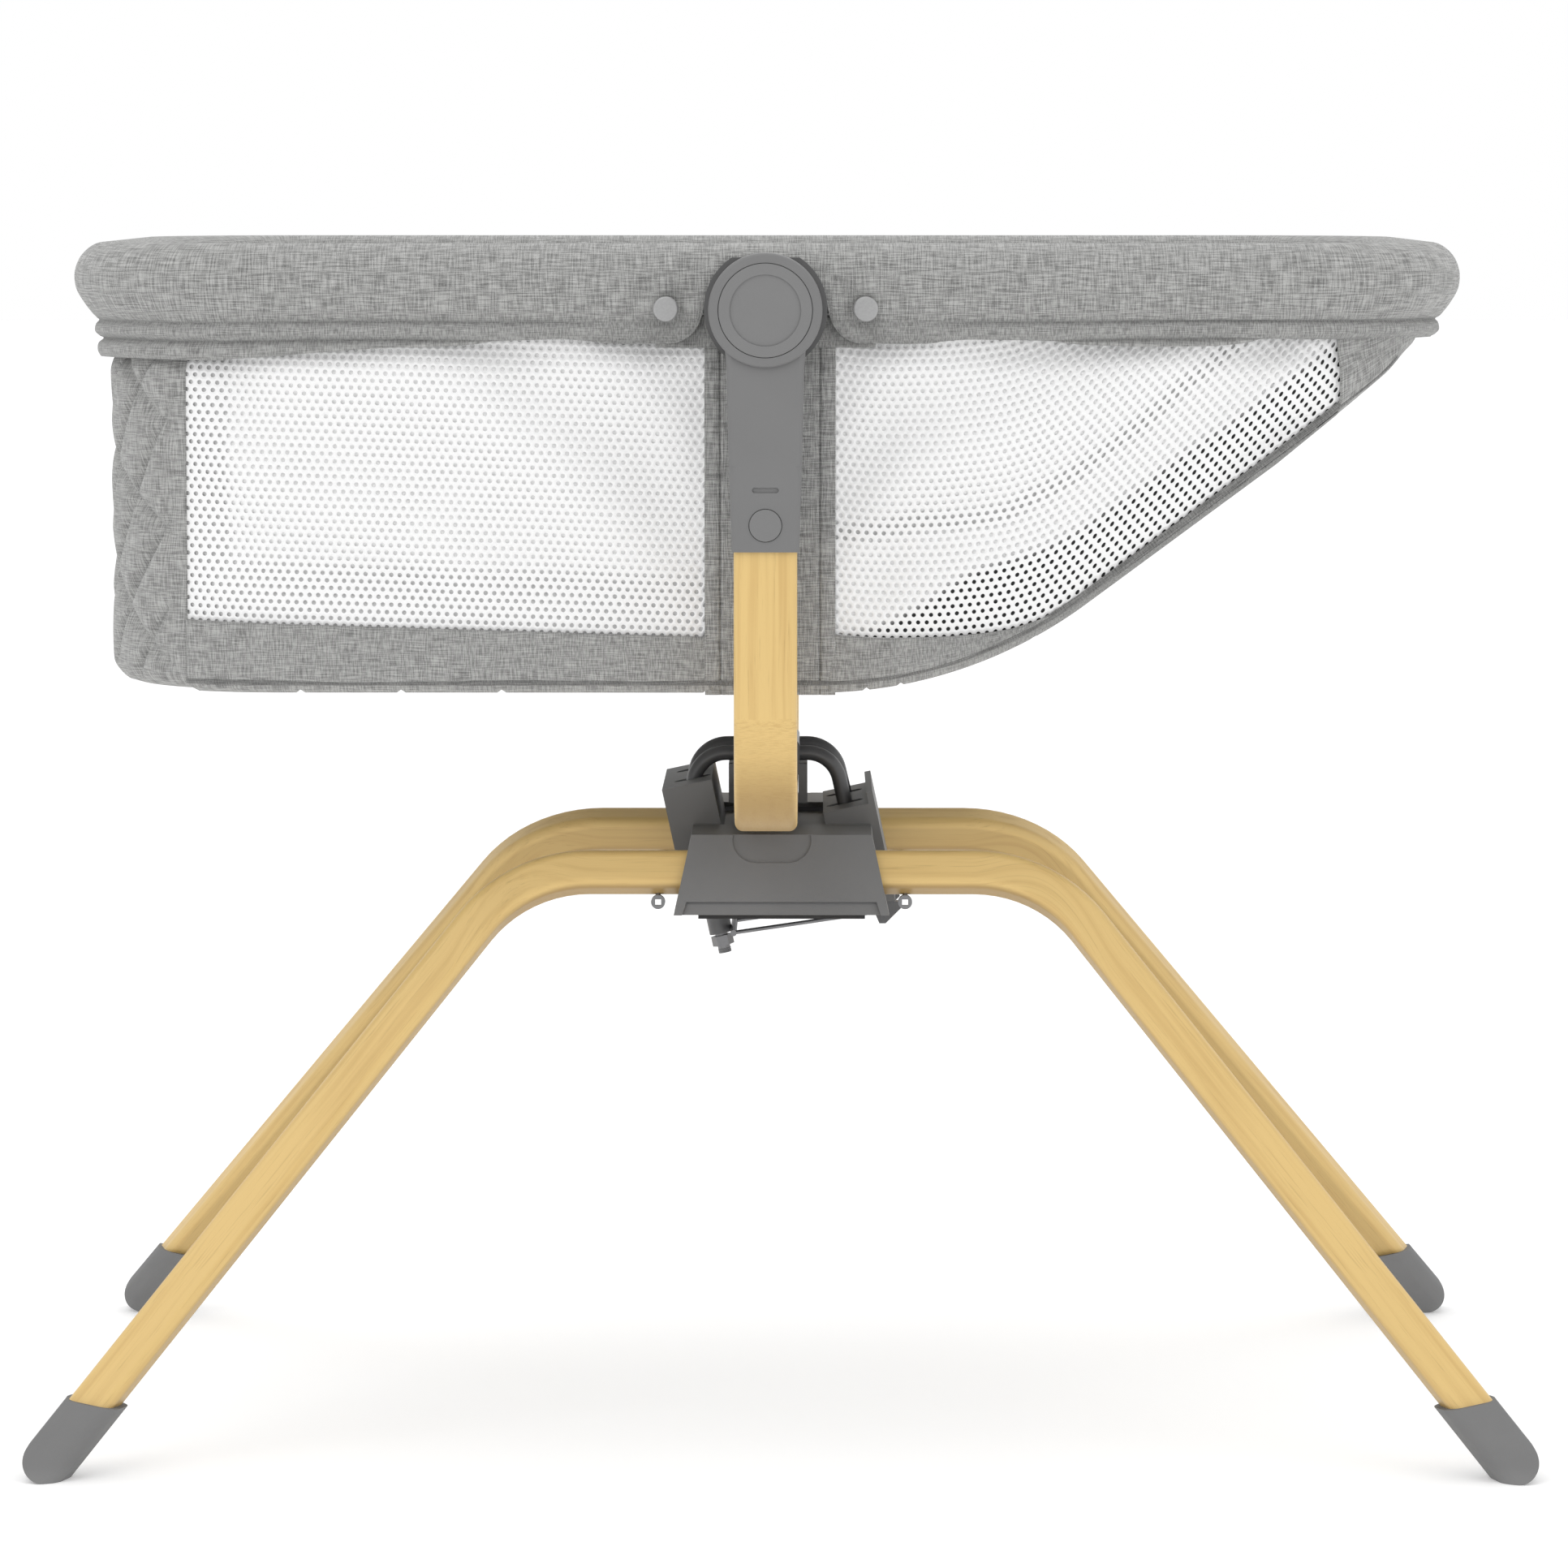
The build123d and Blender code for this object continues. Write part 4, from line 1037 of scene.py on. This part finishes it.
class SewPanels(bpy.types.Operator):
    """Sews the quilted end, the bed and slope covers, the centre bands and the piping."""
    bl_idname = "bassinet.panels"
    bl_label = "Sew the grey panels"

    def execute(self, context):
        cloth, seam = bpy.data.materials["melange_cloth"], melange("seam_cloth", 0.55)
        end = finish_piece("quilted_end_panel", quilted_end(), cloth, thickness=0.003)
        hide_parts("quilted_end")
        pieces = [end]
        for name, bm in (("bed_cover", bed_cover()), ("slope_cover", slope_cover())):
            piece = finish_piece(f"{name}_cloth", bm, cloth, thickness=0.0018)
            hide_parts(name)
            pieces.append(piece)
        for side, rear in (("front", False), ("rear", True)):
            band = finish_piece(f"{side}_band", centre_band(rear), cloth, thickness=0.002)
            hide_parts(f"{side}_centre_band")
            strip = bmesh.new()
            side_strip(strip, CRADLE_X - TOP_STRIP_HALF_X, CRADLE_X + TOP_STRIP_HALF_X, rear,
                       lambda x: TOP_STRIP_Z, lambda x: WALL_TOP, columns=60, rows=10, out=0.0034)
            turn_outward(strip, away_from_middle)
            top = finish_piece(f"{side}_top_strip", strip, cloth, thickness=0.001)
            welt = finish_piece(f"{side}_piping", piping(rear), seam)
            pieces += [band, top, welt]
        return {"FINISHED"}


class SewWindows(bpy.types.Operator):
    """Sews the mesh windows, each with its inner layer."""
    bl_idname = "bassinet.windows"
    bl_label = "Sew the mesh windows"

    def execute(self, context):
        outer = air_mesh()
        linings = {"bed_mesh": mesh_lining("bed_lining", bed_shade),
                   "slope_mesh": mesh_lining("slope_lining", slope_shade)}
        spans = {"bed_mesh": (END_SEAM_X - WINDOW_LAP, BAND_X[0] + WINDOW_LAP),
                 "slope_mesh": (BAND_X[1] - WINDOW_LAP, SLOPE_WINDOW_X + WINDOW_LAP)}
        for side, rear in (("front", False), ("rear", True)):
            for node, (x_from, x_to) in spans.items():
                face = finish_piece(f"{side}_{node}_face", window(x_from, x_to, rear, False), outer)
                back = finish_piece(f"{side}_{node}_lining", window(x_from, x_to, rear, True), linings[node])
                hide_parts(f"{side}_{node}")
        return {"FINISHED"}


class StuffPads(bpy.types.Operator):
    """Stuffs the mattress and the slope pad."""
    bl_idname = "bassinet.pads"
    bl_label = "Stuff the pads"

    def execute(self, context):
        cloth = lining_cloth()
        mattress = stuffed("mattress", "mattress_pad", shrink=0.003, cap=0.007)
        put_pad(mattress, "mattress", cloth, rows=4)
        slope = stuffed("slope_pad", "slope_pad_cloth", shrink=0.002, cap=0.005)
        put_pad(slope, "slope_pad", cloth, rows=5)
        return {"FINISHED"}


class SetStage(bpy.types.Operator):
    """Sets the floor, the lights and the camera."""
    bl_idname = "bassinet.stage"
    bl_label = "Set the stage"

    def execute(self, context):
        bm = bmesh.new()
        bmesh.ops.create_grid(bm, x_segments=1, y_segments=1, size=30)
        data = bpy.data.meshes.new("floor")
        bm.to_mesh(data)
        bm.free()
        floor = bpy.data.objects.new("floor", data)
        bpy.context.scene.collection.objects.link(floor)
        data.materials.append(studio_floor())
        context.scene.view_settings.view_transform = "Standard"
        set_world(1.0)
        for lamp in LIGHTS:
            add_light(*lamp)
        add_camera()
        return {"FINISHED"}


LIGHTS = (  # name, place, target, size, power
    ("key", (-1.6, -2.6, 3.4), (0, 0, 0.45), 2.6, 22),
    ("fill", (2.8, -2.4, 1.6), (0, 0, 0.45), 2.4, 8),
    ("top", (0, 0.6, 3.6), (0, 0, 0.3), 3.0, 20))


def set_world(strength):
    world = bpy.data.worlds.new("studio")
    world.use_nodes = True
    background = world.node_tree.nodes["Background"]
    background.inputs["Color"].default_value = (1, 1, 1, 1)
    background.inputs["Strength"].default_value = strength
    bpy.context.scene.world = world


def add_light(name, place, target, size, power):
    data = bpy.data.lights.new(name, "AREA")
    data.size, data.energy = size, power
    lamp = bpy.data.objects.new(name, data)
    lamp.location = place
    lamp.rotation_euler = (Vector(target) - Vector(place)).to_track_quat("-Z", "Y").to_euler()
    bpy.context.scene.collection.objects.link(lamp)


def add_camera():
    """A long lens in front of the bassinet, just above the rim and tipped down."""
    data = bpy.data.cameras.new("camera")
    tip, turn = 0.0933, 0.0039
    data.lens, data.sensor_width = 151.05, 36
    data.clip_end = 100
    camera = bpy.data.objects.new("camera", data)
    camera.location = (0.0174, -4.2137, 0.788)
    camera.rotation_euler = (pi / 2 - tip, 0, turn)
    bpy.context.scene.collection.objects.link(camera)
    bpy.context.scene.camera = camera


class BassinetPanel(bpy.types.Panel):
    bl_idname = "VIEW3D_PT_bassinet"
    bl_label = "Bassinet"
    bl_space_type = "VIEW_3D"
    bl_region_type = "UI"
    bl_category = "Bassinet"

    def draw(self, context):
        for group in (context.scene.bassinet_sizes, context.scene.bassinet_colours):
            for name in group.__annotations__:
                self.layout.prop(group, name)
        for operator in OPERATORS:
            self.layout.operator(operator.bl_idname)


OPERATORS = (FinishHardware, SewRimCover, SewPanels, SewWindows, StuffPads, SetStage)
CLASSES = (BassinetSizes, BassinetColours, *OPERATORS, BassinetPanel)


def register():
    for cls in CLASSES:
        bpy.utils.register_class(cls)
    bpy.types.Scene.bassinet_sizes = PointerProperty(type=BassinetSizes)
    bpy.types.Scene.bassinet_colours = PointerProperty(type=BassinetColours)


def unregister():
    del bpy.types.Scene.bassinet_colours
    del bpy.types.Scene.bassinet_sizes
    for cls in reversed(CLASSES):
        bpy.utils.unregister_class(cls)


def main():
    register()
    melange()
    for step in ("hardware", "rim_cover", "panels", "windows", "pads", "stage"):
        getattr(bpy.ops.bassinet, step)()


if __name__ == "__main__":
    main()
